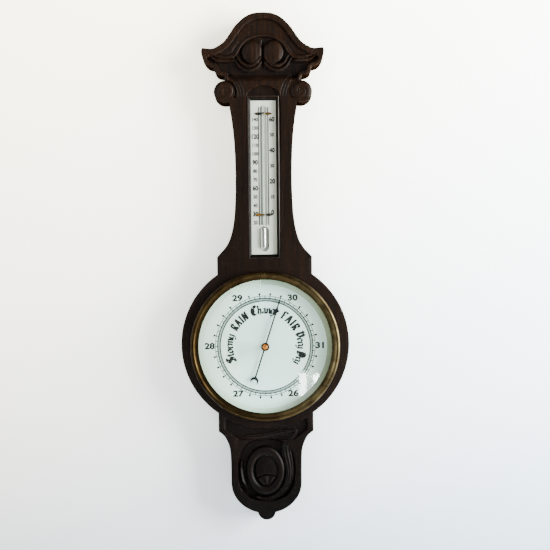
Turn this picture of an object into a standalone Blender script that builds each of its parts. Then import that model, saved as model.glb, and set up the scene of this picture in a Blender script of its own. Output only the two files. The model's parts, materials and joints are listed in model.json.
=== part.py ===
"""Aneroid barometer in a carved oak banjo case, with a thermometer in its neck.

Units are metres, +Z up. The wall is the plane y = 0 and the front faces -Y. The origin
is where the dial's axis meets the wall. Depths are distances forward from the wall, so
a depth of 34 mm is y = -0.034. Every length below is in millimetres times MM.
"""

from math import cos, pi, radians, sin

import bmesh
import bpy
from mathutils import Matrix, Vector

MM = 0.001
GAP = 0.3

# Case board, all in millimetres.
BOARD_THICKNESS = 34.0
HEAD_RADIUS = 127.0
HEAD_CENTRE_Z = 4.0
SHOULDER_X = 71.8
FOOT_HALF_WIDTH = 53.2
FOOT_CENTRE_Z = -206.7
FOOT_DROP = 46.4
PENDANT_Z = -249.6
PENDANT_RADIUS = 13.4
SCROLL_CENTRE = (57.5, 386.0)
SCROLL_RADIUS = 17.2

# Carving cut into the board's front: floors are depths from the wall.
SHALLOW_FLOOR = 31.0
DEEP_FLOOR = 29.0
BUD_CENTRE = (15.0, 446.0)
OVAL_CENTRE = (0.0, -186.0)

# Sides of the large round pieces, and how far a cutter runs past a face.
ROUND = 72
PAST = 1.0

# Hanging plate let into the back of the crest.
HANGER_HALF = 13.0
HANGER_LOW = 446.0
HANGER_HIGH = 482.0
HANGER_SCREWS = ((-9.5, 464.0), (9.5, 464.0))
NAIL_POCKET_FLOOR = 10.0
KEYHOLE_LOW = 455.5
KEYHOLE_HIGH = 469.0
KEYHOLE_RADIUS = 5.0
KEYHOLE_NECK = 2.6

# Stack of the head, as depths from the wall.
COVER_THICKNESS = 1.5
COVER_RADIUS = 100.7
COVER_SCREW_RADIUS = 97.5
COVER_SCREW_ANGLES = (45, 135, 225, 315)
COVER_SCREW_LENGTH = 11.0
HANGER_SCREW_LENGTH = 13.0
SCREW_HOLE = 1.5
WELL_RADIUS = 94.0
LEDGE_DEPTH = 27.0
DIAL_BACK = 27.3
DIAL_FRONT = 28.3
DIAL_RADIUS = 103.5
SKIRT_BACK = 28.6
SKIRT_INNER = 103.1
SKIRT_OUTER = 103.9
BEZEL_FRONT = 43.5
BEZEL_INNER = 100.6
BEZEL_OUTER = 113.4
BEZEL_PIN_RADIUS = 109.0
BEZEL_PIN_ANGLES = (90, 208, 328)
BEZEL_PIN_HOLE = 0.9
GLASS_BACK = 38.1
GLASS_FRONT = 41.5
GLASS_RADIUS = 102.8
GLASS_FLAT_RADIUS = 92.8
HAND_BACK = 31.0
HAND_THICKNESS = 0.7
SET_HAND_BACK = 34.4
SET_HAND_THICKNESS = 0.6
SPINDLE_FRONT = 47.7

# Movement. One inch of mercury is 60 degrees of dial, and the hand rests at 29.8.
HAND_REST = 18.0
BASE_FRONT = 4.5
BASE_BACK = 3.0
BASE_RADIUS = 50.0
DIAL_PILLAR_CIRCLE = 43.0
DIAL_PILLAR_ANGLES = (45, 135, 287)
DIAL_PILLAR_RADIUS = 2.5
CAPSULE_RADIUS = 24.0
LEAF_HINGE_Z = 28.0
LEAF_BACK = 13.1
LEAF_FRONT = 14.3
LEVER_SCREW_Z = -11.5
LEVER_SCREW_HOLE = 0.9
POST_HOLE = 2.5
LINK_Z = -30.0
ROCKER_X = -30.0
ROCKER_DEPTH = 10.0
ROCKER_REST = 11.7
SHORT_ARM = 2.5
CHAIN_ARM = 10.0
CHAIN_RADIUS = 1.5
CHAIN_BACK = 19.6
CHAIN_FRONT = 20.0
ARM_HALF = 0.6
COCK_BACK = 17.3
COCK_FRONT = 18.5
COCK_PILLAR_RADIUS = 2.2
COCK_PILLAR_X = 32.0
COCK_PILLAR_Z = 12.0
ADJUSTER_Z = 30.0
ADJUSTER_HOLE = 1.8
ADJUSTER_PORT = 4.0

# Thermometer let into the neck.
POCKET_X = 24.4
POCKET_LOW = 132.5
POCKET_HIGH = 379.4
POCKET_DEPTH = 24.0
SCALE_X = 20.7
SCALE_LOW = 138.6
SCALE_HIGH = 373.3
SCALE_BACK = 24.3
SCALE_FRONT = 28.3
TUBE_DEPTH = 30.9
TUBE_RADIUS = 2.2
BULB_RADIUS = 2.75
BULB_LOW = 148.3
TUBE_LOW = 181.0
TUBE_HIGH = 365.0
CLIP_HEIGHTS = (352.8, 199.3)
CLIP_HALF_LENGTH = 13.0
CLIP_HALF_WIDTH = 2.0
CLIP_STRAP = 0.4
CLIP_PIN_X = 9.0
CLIP_PIN_HOLE = 0.7
FRAME_FRONT = 33.6
FRAME_LIP = 30.0

# Colour, roughness and metallic value of each finish.
FINISHES = {
    "oak": ((0.028, 0.020, 0.014), 0.42, 0.0),
    "ebonised": ((0.012, 0.010, 0.009), 0.35, 0.0),
    "aged_brass": ((0.17, 0.11, 0.05), 0.38, 1.0),
    "bright_brass": ((0.55, 0.36, 0.13), 0.30, 1.0),
    "steel": ((0.35, 0.35, 0.36), 0.35, 1.0),
    "blued_steel": ((0.015, 0.018, 0.02), 0.35, 1.0),
    "iron": ((0.06, 0.06, 0.065), 0.55, 1.0),
    "copper": ((0.35, 0.13, 0.05), 0.35, 1.0),
    "nickel_silver": ((0.50, 0.49, 0.45), 0.30, 1.0),
    "card": ((0.72, 0.75, 0.70), 0.60, 0.0),
    "opal_glass": ((0.62, 0.65, 0.58), 0.25, 0.0),
    "glass": ((0.85, 0.90, 0.90), 0.03, 0.0),
    "mercury": ((0.65, 0.66, 0.68), 0.10, 1.0),
}


def clear_scene():
    """Start from an empty scene."""
    for item in list(bpy.data.objects):
        bpy.data.objects.remove(item)


def make_material(name, finish):
    """A Principled material of the given finish."""
    colour, roughness, metallic = FINISHES[finish]
    material = bpy.data.materials.new(name)
    material.use_nodes = True
    shader = material.node_tree.nodes["Principled BSDF"]
    shader.inputs["Base Color"].default_value = (*colour, 1.0)
    shader.inputs["Roughness"].default_value = roughness
    shader.inputs["Metallic"].default_value = metallic
    return material


def arc(centre, radius, start, end, steps):
    """Points on a circular or elliptical arc, angles in degrees from +X towards +Z."""
    across, up = radius if isinstance(radius, tuple) else (radius, radius)
    angles = [radians(start + (end - start) * i / steps) for i in range(steps + 1)]
    return [(centre[0] + across * cos(a), centre[1] + up * sin(a)) for a in angles]


def ring_of(centre, radius, count):
    """A closed loop of points round a circle or an ellipse."""
    return arc(centre, radius, 0.0, 360.0, count)[:-1]


def smooth_run(points, steps):
    """A smooth curve through the points, with the given steps between neighbours."""
    first = [2 * a - b for a, b in zip(points[0], points[1])]
    last = [2 * a - b for a, b in zip(points[-1], points[-2])]
    knots = [Vector(p) for p in [first, *points, last]]
    run = []
    for a, b, c, d in zip(knots, knots[1:], knots[2:], knots[3:]):
        for i in range(steps):
            t = i / steps
            bend = (2 * a - 5 * b + 4 * c - d) * t * t + (3 * b - a - 3 * c + d) * t ** 3
            run.append(tuple(b + ((c - a) * t + bend) / 2))
    return run + [tuple(points[-1])]


def turned_about(points, degrees):
    """The points turned clockwise, as the dial reads from the front."""
    c = cos(radians(degrees))
    s = sin(radians(degrees))
    return [(x * c + z * s, z * c - x * s) for x, z in points]


def finish_object(name, finish, shape, at):
    """Wrap a finished bmesh, in millimetres, as a named object at (x, depth, z)."""
    bmesh.ops.remove_doubles(shape, verts=shape.verts, dist=1e-4)
    bmesh.ops.recalc_face_normals(shape, faces=shape.faces)
    bmesh.ops.scale(shape, vec=(MM, MM, MM), verts=shape.verts)
    mesh = bpy.data.meshes.new(name)
    shape.to_mesh(mesh)
    shape.free()
    mesh.shade_smooth()
    mesh.set_sharp_from_angle(angle=radians(30.0))
    item = bpy.data.objects.new(name, mesh)
    item.location = (at[0] * MM, -at[1] * MM, at[2] * MM)
    bpy.context.scene.collection.objects.link(item)
    if finish:
        mesh.materials.append(make_material(name, finish))
    return item


def prism(name, finish, corners, sweep, at):
    """A flat face swept along a straight line."""
    shape = bmesh.new()
    face = shape.faces.new([shape.verts.new(corner) for corner in corners])
    grown = bmesh.ops.extrude_face_region(shape, geom=[face])["geom"]
    moved = [part for part in grown if isinstance(part, bmesh.types.BMVert)]
    bmesh.ops.translate(shape, vec=sweep, verts=moved)
    return finish_object(name, finish, shape, at)


def slab(name, finish, outline, back, front, at=(0.0, 0.0, 0.0)):
    """A flat plate: an outline in X and Z, extruded from one depth to another."""
    corners = [(x, -back, z) for x, z in outline]
    return prism(name, finish, corners, (0.0, back - front, 0.0), at)


def turned(name, finish, profile, segments, at=(0.0, 0.0, 0.0), axis="depth"):
    """A turned solid from a closed profile of (radius, distance along the axis)."""
    shape = bmesh.new()
    corners = [shape.verts.new((r, -along, 0.0)) for r, along in profile]
    edges = [shape.edges.new(pair) for pair in zip(corners, corners[1:] + corners[:1])]
    bmesh.ops.spin(
        shape, geom=corners + edges, cent=(0, 0, 0), axis=(0, 1, 0),
        angle=2 * pi, steps=segments, use_merge=True,
    )
    if axis == "up":
        upright = Matrix.Rotation(radians(-90.0), 3, "X")
        bmesh.ops.rotate(shape, cent=(0, 0, 0), matrix=upright, verts=shape.verts)
    return finish_object(name, finish, shape, at)


def peg(name, finish, radius, back, front, segments=16, at=(0.0, 0.0, 0.0), axis="depth"):
    """A plain round rod."""
    profile = [(0.0, back), (radius, back), (radius, front), (0.0, front)]
    return turned(name, finish, profile, segments, at, axis)


def block(name, finish, x, z, back, front, at=(0.0, 0.0, 0.0)):
    """A rectangular block between two x values, two z values and two depths."""
    outline = [(x[0], z[0]), (x[1], z[0]), (x[1], z[1]), (x[0], z[1])]
    return slab(name, finish, outline, back, front, at)


def ring_solid(name, finish, outlines):
    """A closed ring skinned over (outline, depth) pairs of equally many points."""
    shape = bmesh.new()
    loops = []
    for outline, depth in outlines:
        loops.append([shape.verts.new((x, -depth, z)) for x, z in outline])
    for near, far in zip(loops, loops[1:] + loops[:1]):
        for i in range(len(near)):
            j = (i + 1) % len(near)
            shape.faces.new((near[i], near[j], far[j], far[i]))
    return finish_object(name, finish, shape, (0.0, 0.0, 0.0))


def groove(board, name, outer, inner, floor):
    """Cut a groove between two loops of the same number of points into the front."""
    front = BOARD_THICKNESS + PAST
    outlines = [(outer, floor), (outer, front), (inner, front), (inner, floor)]
    cut(board, ring_solid(name, None, outlines))


def combine(item, tool, operation):
    """Cut the tool out of the item, or weld it on, and keep the tool hidden."""
    tool.hide_render = True
    tool.display_type = "WIRE"
    change = item.modifiers.new(tool.name, "BOOLEAN")
    change.operation = operation
    change.solver = "EXACT"
    change.object = tool


def cut(item, tool):
    """Cut the tool's shape out of the item."""
    combine(item, tool, "DIFFERENCE")


def weld(item, tool):
    """Join the tool's shape to the item."""
    combine(item, tool, "UNION")


def drill(item, radius, back, front, x, z, segments=16):
    """Drill a round hole along the depth."""
    name = f"{item.name}_hole_{len(item.modifiers)}"
    cut(item, peg(name, None, radius, back, front, segments, (x, 0.0, z)))


def polar(radius, degrees):
    """A point round the dial's centre, angle from +X towards +Z."""
    return radius * cos(radians(degrees)), radius * sin(radians(degrees))


def around(radius, angles):
    """Points at the given angles on a circle round the dial's centre."""
    return [polar(radius, angle) for angle in angles]


def board_outline():
    """The banjo outline: crest, scrolls, neck, round head, foot and pendant."""
    crest = smooth_run([
        (0.0, 506.0), (14.0, 504.8), (28.0, 498.4), (41.0, 486.2), (49.5, 474.0),
        (58.5, 462.0), (67.0, 455.8), (77.0, 451.4), (91.5, 452.7),
    ], 3)
    ear = arc((75.0, 449.0), (18.2, 25.5), 0.0, -90.0, 6)
    under_ear = arc((60.0, 420.0), (13.0, 10.0), 0.0, -90.0, 4)
    scroll = arc(SCROLL_CENTRE, SCROLL_RADIUS, 90.0, -111.0, 12)
    neck = smooth_run([
        (50.6, 360.0), (48.3, 346.6), (44.4, 310.0), (42.7, 265.0), (43.3, 222.0),
        (46.0, 188.0), (51.5, 164.2), (58.5, 150.5), (68.0, 139.8), (SHOULDER_X, 135.5),
    ], 2)
    head = arc((0.0, HEAD_CENTRE_Z), HEAD_RADIUS, 55.6, -55.6, 20)
    waist = smooth_run([
        (SHOULDER_X, -128.5), (65.2, -133.8), (60.6, -139.8), (55.6, -152.0),
        (53.9, -164.0), (53.3, -185.0),
    ], 2)
    foot = arc((0.0, FOOT_CENTRE_Z), (FOOT_HALF_WIDTH, FOOT_DROP), 0.0, -75.5, 10)
    pendant = arc((0.0, PENDANT_Z), PENDANT_RADIUS, -12.0, -90.0, 6)
    right = crest + ear + under_ear + scroll + neck + head + waist + foot + pendant
    left = [(-x, z) for x, z in right[-2:0:-1]]
    return right + left


def carve_board(board):
    """The main carved lines: scroll eyes, crest buds, and the foot's oval and boss."""
    for side in (-1, 1):
        eye = (side * SCROLL_CENTRE[0], SCROLL_CENTRE[1])
        outer = ring_of(eye, 12.5, 16)
        groove(board, f"scroll_groove_{side}", outer, ring_of(eye, 10.0, 16), SHALLOW_FLOOR)
        bud = (side * BUD_CENTRE[0], BUD_CENTRE[1])
        outer = ring_of(bud, (14.5, 21.0), 18)
        groove(board, f"bud_groove_{side}", outer, ring_of(bud, (12.0, 18.5), 18), SHALLOW_FLOOR)
    outer = ring_of(OVAL_CENTRE, (43.0, 46.0), 28)
    groove(board, "foot_field", outer, ring_of(OVAL_CENTRE, (35.0, 40.0), 28), DEEP_FLOOR)
    outer = ring_of(OVAL_CENTRE, (27.0, 32.0), 28)
    groove(board, "foot_ring", outer, ring_of(OVAL_CENTRE, (18.0, 22.0), 28), DEEP_FLOOR)


def hollow_board(board):
    """The stepped well for the movement, and the pockets for thermometer and nail."""
    front = BOARD_THICKNESS + PAST
    mouth = SKIRT_OUTER + GAP
    shelf = COVER_RADIUS + GAP
    rebate = COVER_THICKNESS + GAP
    well = [
        (0.0, -PAST), (shelf, -PAST), (shelf, rebate), (WELL_RADIUS, rebate),
        (WELL_RADIUS, LEDGE_DEPTH), (mouth, LEDGE_DEPTH), (mouth, front), (0.0, front),
    ]
    cut(board, turned("well", None, well, ROUND))
    across = (-POCKET_X, POCKET_X)
    up = (POCKET_LOW, POCKET_HIGH)
    cut(board, block("thermometer_pocket", None, across, up, POCKET_DEPTH, front))
    across = (-HANGER_HALF - GAP, HANGER_HALF + GAP)
    up = (HANGER_LOW - GAP, HANGER_HIGH + GAP)
    cut(board, block("hanger_rebate", None, across, up, -PAST, rebate))
    up = (KEYHOLE_LOW - 6.5, KEYHOLE_HIGH + 7.0)
    cut(board, block("nail_pocket", None, (-6.0, 6.0), up, PAST, NAIL_POCKET_FLOOR))


def make_board():
    """The oak board with its wells, pockets, screw holes and carving."""
    board = slab("case_board", "oak", board_outline(), 0.0, BOARD_THICKNESS)
    hollow_board(board)
    for x, z in around(COVER_SCREW_RADIUS, COVER_SCREW_ANGLES):
        drill(board, SCREW_HOLE, 1.0, COVER_SCREW_LENGTH + PAST, x, z, 12)
    for x, z in around(BEZEL_PIN_RADIUS, BEZEL_PIN_ANGLES):
        drill(board, BEZEL_PIN_HOLE, 26.0, BOARD_THICKNESS + PAST, x, z, 10)
    for x, z in HANGER_SCREWS:
        drill(board, SCREW_HOLE, 1.0, HANGER_SCREW_LENGTH + PAST, x, z, 12)
    carve_board(board)


def make_wood_screws(stem, places, length):
    """Countersunk screws driven in from the back."""
    profile = [(0.0, 0.1), (2.5, 0.1), (1.2, 1.4), (1.2, length - 1.5), (0.0, length)]
    for number, (x, z) in enumerate(places, 1):
        screw = turned(f"{stem}_{number}", "steel", profile, 16, (x, 0.0, z))
        slot = block(f"{stem}_slot_{number}", None, (-3, 3), (-0.3, 0.3), -PAST, 0.6, (x, 0.0, z))
        cut(screw, slot)


def countersink(plate, places):
    """Countersunk holes for the wood screws."""
    profile = [(0.0, -0.4), (3.3, -0.4), (SCREW_HOLE, 1.5), (SCREW_HOLE, 2.5), (0.0, 2.5)]
    for x, z in places:
        name = f"{plate.name}_sink_{len(plate.modifiers)}"
        cut(plate, turned(name, None, profile, 16, (x, 0.0, z)))


def make_back():
    """The back's brass cover over the movement, and the keyhole hanging plate."""
    cover = peg("rear_cover", "bright_brass", COVER_RADIUS, 0.0, COVER_THICKNESS, ROUND)
    places = around(COVER_SCREW_RADIUS, COVER_SCREW_ANGLES)
    countersink(cover, places)
    drill(cover, ADJUSTER_PORT, -PAST, 3.0, 0.0, ADJUSTER_Z, 20)
    make_wood_screws("cover_screw", places, COVER_SCREW_LENGTH)
    across = (-HANGER_HALF, HANGER_HALF)
    up = (HANGER_LOW, HANGER_HIGH)
    plate = block("hanger_plate", "bright_brass", across, up, 0.0, COVER_THICKNESS)
    keyhole = arc((0.0, KEYHOLE_LOW), KEYHOLE_RADIUS, 121.4, 418.6, 16)
    keyhole += arc((0.0, KEYHOLE_HIGH), KEYHOLE_NECK, 0.0, 180.0, 8)
    cut(plate, slab("keyhole", None, keyhole, -PAST, 3.0))
    countersink(plate, HANGER_SCREWS)
    make_wood_screws("hanger_screw", HANGER_SCREWS, HANGER_SCREW_LENGTH)


def make_bezel():
    """The brass bezel, its fixing pins, the bevelled glass and its retaining ring."""
    back = BOARD_THICKNESS + GAP
    bead = arc((108.2, 39.0), (5.2, 4.5), 0.0, 120.0, 5)
    profile = [
        (SKIRT_INNER, SKIRT_BACK), (SKIRT_OUTER, SKIRT_BACK), (SKIRT_OUTER, back),
        (BEZEL_OUTER, back), *bead, (BEZEL_INNER, 41.2), (BEZEL_INNER, 40.2),
        (SKIRT_INNER, 40.2),
    ]
    bezel = turned("bezel", "aged_brass", profile, ROUND)
    pin = [(0.0, 27.0), (0.6, 27.0), (0.6, 43.9), (1.3, 43.9), (1.1, 44.5), (0.0, 44.7)]
    for number, (x, z) in enumerate(around(BEZEL_PIN_RADIUS, BEZEL_PIN_ANGLES), 1):
        drill(bezel, BEZEL_PIN_HOLE, 30.0, 46.0, x, z, 10)
        turned(f"bezel_pin_{number}", "aged_brass", pin, 10, (x, 0.0, z))
    glass_profile = [
        (2.9, GLASS_BACK), (GLASS_RADIUS, GLASS_BACK), (GLASS_RADIUS, 39.7),
        (GLASS_FLAT_RADIUS, GLASS_FRONT), (2.9, GLASS_FRONT),
    ]
    turned("cover_glass", "glass", glass_profile, ROUND)
    ring = [(100.9, 36.2), (102.7, 36.2), (102.7, 37.8), (100.9, 37.8)]
    turned("glass_retaining_ring", "aged_brass", ring, ROUND)


def make_dial():
    """The dial plate and the pillars that carry the movement behind it."""
    profile = [
        (4.0, DIAL_BACK), (DIAL_RADIUS, DIAL_BACK), (DIAL_RADIUS, DIAL_FRONT), (4.0, DIAL_FRONT),
    ]
    turned("dial_plate", "card", profile, ROUND)
    back = BASE_FRONT + GAP
    front = DIAL_BACK - GAP
    for number, (x, z) in enumerate(around(DIAL_PILLAR_CIRCLE, DIAL_PILLAR_ANGLES), 1):
        name = f"dial_pillar_{number}"
        peg(name, "bright_brass", DIAL_PILLAR_RADIUS, back, front, 16, (x, 0.0, z))


def make_capsule():
    """The movement's base plate and the two corrugated halves of the vacuum capsule."""
    base = peg("base_plate", "bright_brass", BASE_RADIUS, BASE_BACK, BASE_FRONT, 64)
    drill(base, ADJUSTER_HOLE, 2.0, 6.0, 0.0, ADJUSTER_Z)
    floor = BASE_FRONT + GAP
    edge = [(CAPSULE_RADIUS, 6.6), (CAPSULE_RADIUS, 7.2)]
    pan = [(0.0, floor), (8.0, floor), (20.0, 6.0), *edge, (0.0, 7.2)]
    turned("capsule_back", "nickel_silver", pan, 32)
    ripple = [(r, 9.6 + 0.5 * cos(pi * i)) for i, r in enumerate((20.0, 17.5, 15.0, 12.5, 10.0))]
    post = [(2.0, 10.3), (2.0, 14.7), (4.0, 14.7), (4.0, 15.7), (0.0, 15.7)]
    rim = [(0.0, 7.8), (CAPSULE_RADIUS, 7.8), (CAPSULE_RADIUS, 8.4)]
    turned("capsule_front", "nickel_silver", [*rim, *ripple, (6.0, 10.3), *post], 32)


def make_spring():
    """The iron bracket, the leaf mainspring, and the screw that adjusts the leaf."""
    across = (-18.0, 18.0)
    up = (25.5, 34.5)
    bracket = block("spring_bracket", "iron", across, up, BASE_FRONT + GAP, LEAF_BACK - GAP)
    drill(bracket, ADJUSTER_HOLE, 4.0, 11.0, 0.0, ADJUSTER_Z)
    half = (LEAF_FRONT - LEAF_BACK) / 2
    hinge = (0.0, LEAF_BACK + half, LEAF_HINGE_Z)
    up = (-14.0 - LEAF_HINGE_Z, 6.0)
    leaf = block("mainspring", "steel", (-12.0, 12.0), up, -half, half, hinge)
    drill(leaf, POST_HOLE, 10.0, 18.0, 0.0, 0.0)
    drill(leaf, LEVER_SCREW_HOLE, 10.0, 18.0, 0.0, LEVER_SCREW_Z, 12)
    make_lever(hinge)
    shank = [(0.0, 0.5), (3.0, 0.5), (3.0, 2.5), (1.5, 2.5), (1.5, 10.5), (0.0, 10.5)]
    place = (0.0, 0.0, ADJUSTER_Z)
    adjuster = turned("adjusting_screw", "steel", shank, 20, place)
    cut(adjuster, block("adjuster_slot", None, (-4, 4), (-0.4, 0.4), 0.0, 1.3, place))


def make_lever(hinge):
    """The main lever on the leaf, and the screw that holds it there."""
    back = LEAF_FRONT + GAP - hinge[1]
    front = back + 1.2
    outline = [
        (-4.0, -8.0), (4.0, -8.0), (4.0, -14.0), (-24.0, -32.0), (-29.0, -32.0), (-29.0, -28.0),
    ]
    outline = [(x, z - LEAF_HINGE_Z) for x, z in reversed(outline)]
    lever = slab("main_lever", "steel", outline, back, front, hinge)
    drill(lever, LEVER_SCREW_HOLE, 10.0, 18.0, 0.0, LEVER_SCREW_Z, 12)
    start = LEAF_BACK - hinge[1]
    head = front + GAP
    profile = [
        (0.0, start), (0.6, start), (0.6, head), (1.7, head), (1.7, head + 0.8), (0.0, head + 0.8),
    ]
    screw = turned("lever_screw", "blued_steel", profile, 12, hinge)
    drop = (LEVER_SCREW_Z - LEAF_HINGE_Z) * MM
    screw.data.transform(Matrix.Translation((0.0, 0.0, drop)))


def make_rocker():
    """The link, and the rocker that turns its push into the chain's pull."""
    place = (ROCKER_X, ROCKER_DEPTH, 0.0)
    shaft = [
        (0.0, -35.6), (0.6, -35.6), (0.6, -33.6), (1.0, -33.6), (1.0, 4.6), (0.6, 4.6), (0.6, 6.6),
        (0.0, 6.6),
    ]
    rocker = turned("rocker", "steel", shaft, 12, place, "up")
    up = (LINK_Z - 0.7, LINK_Z + 0.7)
    short = block("short_arm", None, (0.0, SHORT_ARM + 0.7), up, -0.5, 0.5, place)
    across = (-ARM_HALF, ARM_HALF)
    up = (CHAIN_RADIUS - ARM_HALF, CHAIN_RADIUS + ARM_HALF)
    chain_arm = block("chain_arm", None, across, up, 0.0, CHAIN_ARM + ARM_HALF, place)
    for arm in (short, chain_arm):
        arm.rotation_euler = (0.0, 0.0, radians(ROCKER_REST))
        weld(rocker, arm)
    tip_x = ROCKER_X + SHORT_ARM
    foot = ROCKER_DEPTH + 1.0
    link = [(0.0, foot), (0.9, foot), (0.9, foot + 0.8), (0.4, foot + 1.2)]
    link += [(0.4, LEAF_FRONT - 1.0), (0.9, LEAF_FRONT - 0.6), (0.9, LEAF_FRONT), (0.0, LEAF_FRONT)]
    turned("lever_link", "steel", link, 10, (tip_x, 0.0, LINK_Z))
    place = (ROCKER_X, 0.0, 0.0)
    for name, low in (("rocker_cock_lower", -35.4), ("rocker_cock_upper", 4.9)):
        up = (low, low + 1.5)
        cock = block(name, "bright_brass", (-2.5, 2.5), up, BASE_FRONT + GAP, 12.0, place)
        pivot = (ROCKER_X, ROCKER_DEPTH, 0.0)
        hole = peg(f"{name}_hole", None, 0.7, low - PAST, low + 3.0, 12, pivot, "up")
        cut(cock, hole)


def spiral_outline(inner, outer, turns, steps, width):
    """The outline of a flat spiral ribbon."""
    count = turns * steps
    sides = ([], [])
    for i in range(count + 1):
        radius = inner + (outer - inner) * i / count
        angle = 360.0 * i / steps
        sides[0].append(polar(radius + width / 2, angle))
        sides[1].append(polar(radius - width / 2, angle))
    return sides[0] + sides[1][::-1]


def make_chain(half):
    """The chain from the rocker's arm to the drum, with its origin on the rocker's axis."""
    place = (ROCKER_X, ROCKER_DEPTH, 0.0)
    start = CHAIN_ARM * sin(radians(ROCKER_REST)) + 1.4
    up = (CHAIN_RADIUS - half, CHAIN_RADIUS + half)
    back = CHAIN_BACK - ROCKER_DEPTH
    front = CHAIN_FRONT - ROCKER_DEPTH
    block("chain", "steel", (start, -ROCKER_X), up, back, front, place)


def make_hand_train():
    """The chain, the hand arbor with its drum, the hairspring and the arbor cock."""
    half = 0.2
    make_chain(half)
    drum = CHAIN_RADIUS - half - GAP
    tip = HAND_BACK - GAP
    arbor = [
        (0.0, 17.4), (0.5, 17.4), (0.5, 18.7), (1.6, 18.7), (1.6, 19.1), (drum, 19.1),
        (drum, 20.9), (1.6, 20.9), (1.6, 22.9), (1.0, 22.9), (1.0, tip), (0.0, tip),
    ]
    turned("hand_arbor", "steel", arbor, 24)
    slab("hairspring", "blued_steel", spiral_outline(2.2, 8.0, 4, 18, 0.25), 21.6, 22.4)
    across = (8.5, 10.0)
    block("hairspring_stud", "bright_brass", across, (-0.7, 0.7), COCK_FRONT + GAP, 22.9)
    plate = [(36.0, -17.0), (36.0, 17.0), (28.0, 17.0), (9.0, 5.0)]
    plate += [*arc((0, 0), 5.0, 90.0, 270.0, 8), (9.0, -5.0), (28.0, -17.0)]
    cock = slab("arbor_cock", "bright_brass", plate, COCK_BACK, COCK_FRONT)
    drill(cock, 0.6, 16.0, 20.0, 0.0, 0.0, 24)
    back = BASE_FRONT + GAP
    front = COCK_BACK - GAP
    for number, z in enumerate((-COCK_PILLAR_Z, COCK_PILLAR_Z), 1):
        place = (COCK_PILLAR_X, 0.0, z)
        peg(f"cock_pillar_{number}", "bright_brass", COCK_PILLAR_RADIUS, back, front, 16, place)


def hand_outline():
    """The blued hand: a needle with a spade, and a crescent on its tail."""
    crescent = (0.0, -55.7)
    bite = (0.0, -58.2)
    needle = [(0.25, 80.0), (0.8, 68.0), (0.7, 62.0), (2.6, 57.0), (0.85, 50.5), (0.85, 4.2)]
    hub = arc((0, 0), 4.2, 70.0, -80.0, 7)
    tail = [(0.85, -5.0), (0.85, -49.6)]
    outer = arc(crescent, 6.2, 78.0, -48.0, 9)
    inner = arc(bite, 4.6, -24.0, 90.0, 7)
    right = needle + hub + tail + outer + inner
    left = [(-x, z) for x, z in right[-2::-1]]
    return turned_about(right + left, HAND_REST)


def make_hands():
    """The indicating hand, and the set hand with its spindle, bush, washer and knob."""
    slab("indicating_hand", "blued_steel", hand_outline(), HAND_BACK, HAND_BACK + HAND_THICKNESS)
    pointer = [(0.15, 50.0), (0.6, 44.0), (0.6, 3.3)]
    pointer += [*arc((0, 0), 3.4, 70.0, -70.0, 6), (0.9, -14.0)]
    pointer += [(-x, z) for x, z in reversed(pointer)]
    pointer = turned_about(pointer, HAND_REST)
    front = SET_HAND_BACK + SET_HAND_THICKNESS
    slab("set_hand", "bright_brass", pointer, SET_HAND_BACK, front)
    back = front + GAP
    spindle = [
        (0.0, back), (3.0, back), (3.0, back + 1.0), (1.3, back + 1.0), (1.3, SPINDLE_FRONT),
        (0.0, SPINDLE_FRONT),
    ]
    turned("set_hand_spindle", "bright_brass", spindle, 20)
    bush = [(1.6, 37.2), (2.6, 37.2), (2.6, 41.8), (4.2, 41.8), (4.2, 42.4), (1.6, 42.4)]
    turned("spindle_bush", "bright_brass", bush, 24)
    washer = [(1.6, 42.7), (3.6, 42.7), (3.6, 43.1), (1.6, 43.1)]
    turned("spring_washer", "copper", washer, 24)
    knob = [
        (1.6, 43.4), (4.2, 43.4), (4.2, 44.4), (6.2, 45.0), (6.5, 46.0), (6.5, 49.0), (5.9, 50.2),
        (3.0, 50.9), (0.0, 51.0), (0.0, SPINDLE_FRONT + GAP), (1.6, SPINDLE_FRONT + GAP),
    ]
    turned("set_hand_knob", "copper", knob, 28)


def make_clip(number, z):
    """A brass strap that arches over the tube, with a pinned leaf on each side."""
    inner = TUBE_RADIUS + GAP
    arch_back = arc((0.0, TUBE_DEPTH), inner, 180.0, 0.0, 8)
    arch_front = arc((0.0, TUBE_DEPTH), inner + CLIP_STRAP, 0.0, 180.0, 8)
    back = SCALE_FRONT + GAP
    front = back + CLIP_STRAP
    end = CLIP_HALF_LENGTH
    section = [(-end, back), (-inner, back), *arch_back, (inner, back), (end, back)]
    section += [(end, front), (2.9, front), *arch_front, (-2.9, front), (-end, front)]
    corners = [(x, -depth, -CLIP_HALF_WIDTH) for x, depth in section]
    sweep = (0.0, 0.0, 2.0 * CLIP_HALF_WIDTH)
    clip = prism(f"tube_clip_{number}", "bright_brass", corners, sweep, (0.0, 0.0, z))
    pin = [
        (0.0, 26.0), (0.4, 26.0), (0.4, front + GAP), (1.0, front + GAP), (0.7, front + 0.8),
        (0.0, front + 0.8),
    ]
    for side, x in (("left", -CLIP_PIN_X), ("right", CLIP_PIN_X)):
        drill(clip, CLIP_PIN_HOLE, 27.0, 31.0, x, z, 10)
        turned(f"clip_pin_{number}_{side}", "bright_brass", pin, 10, (x, 0.0, z))


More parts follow.
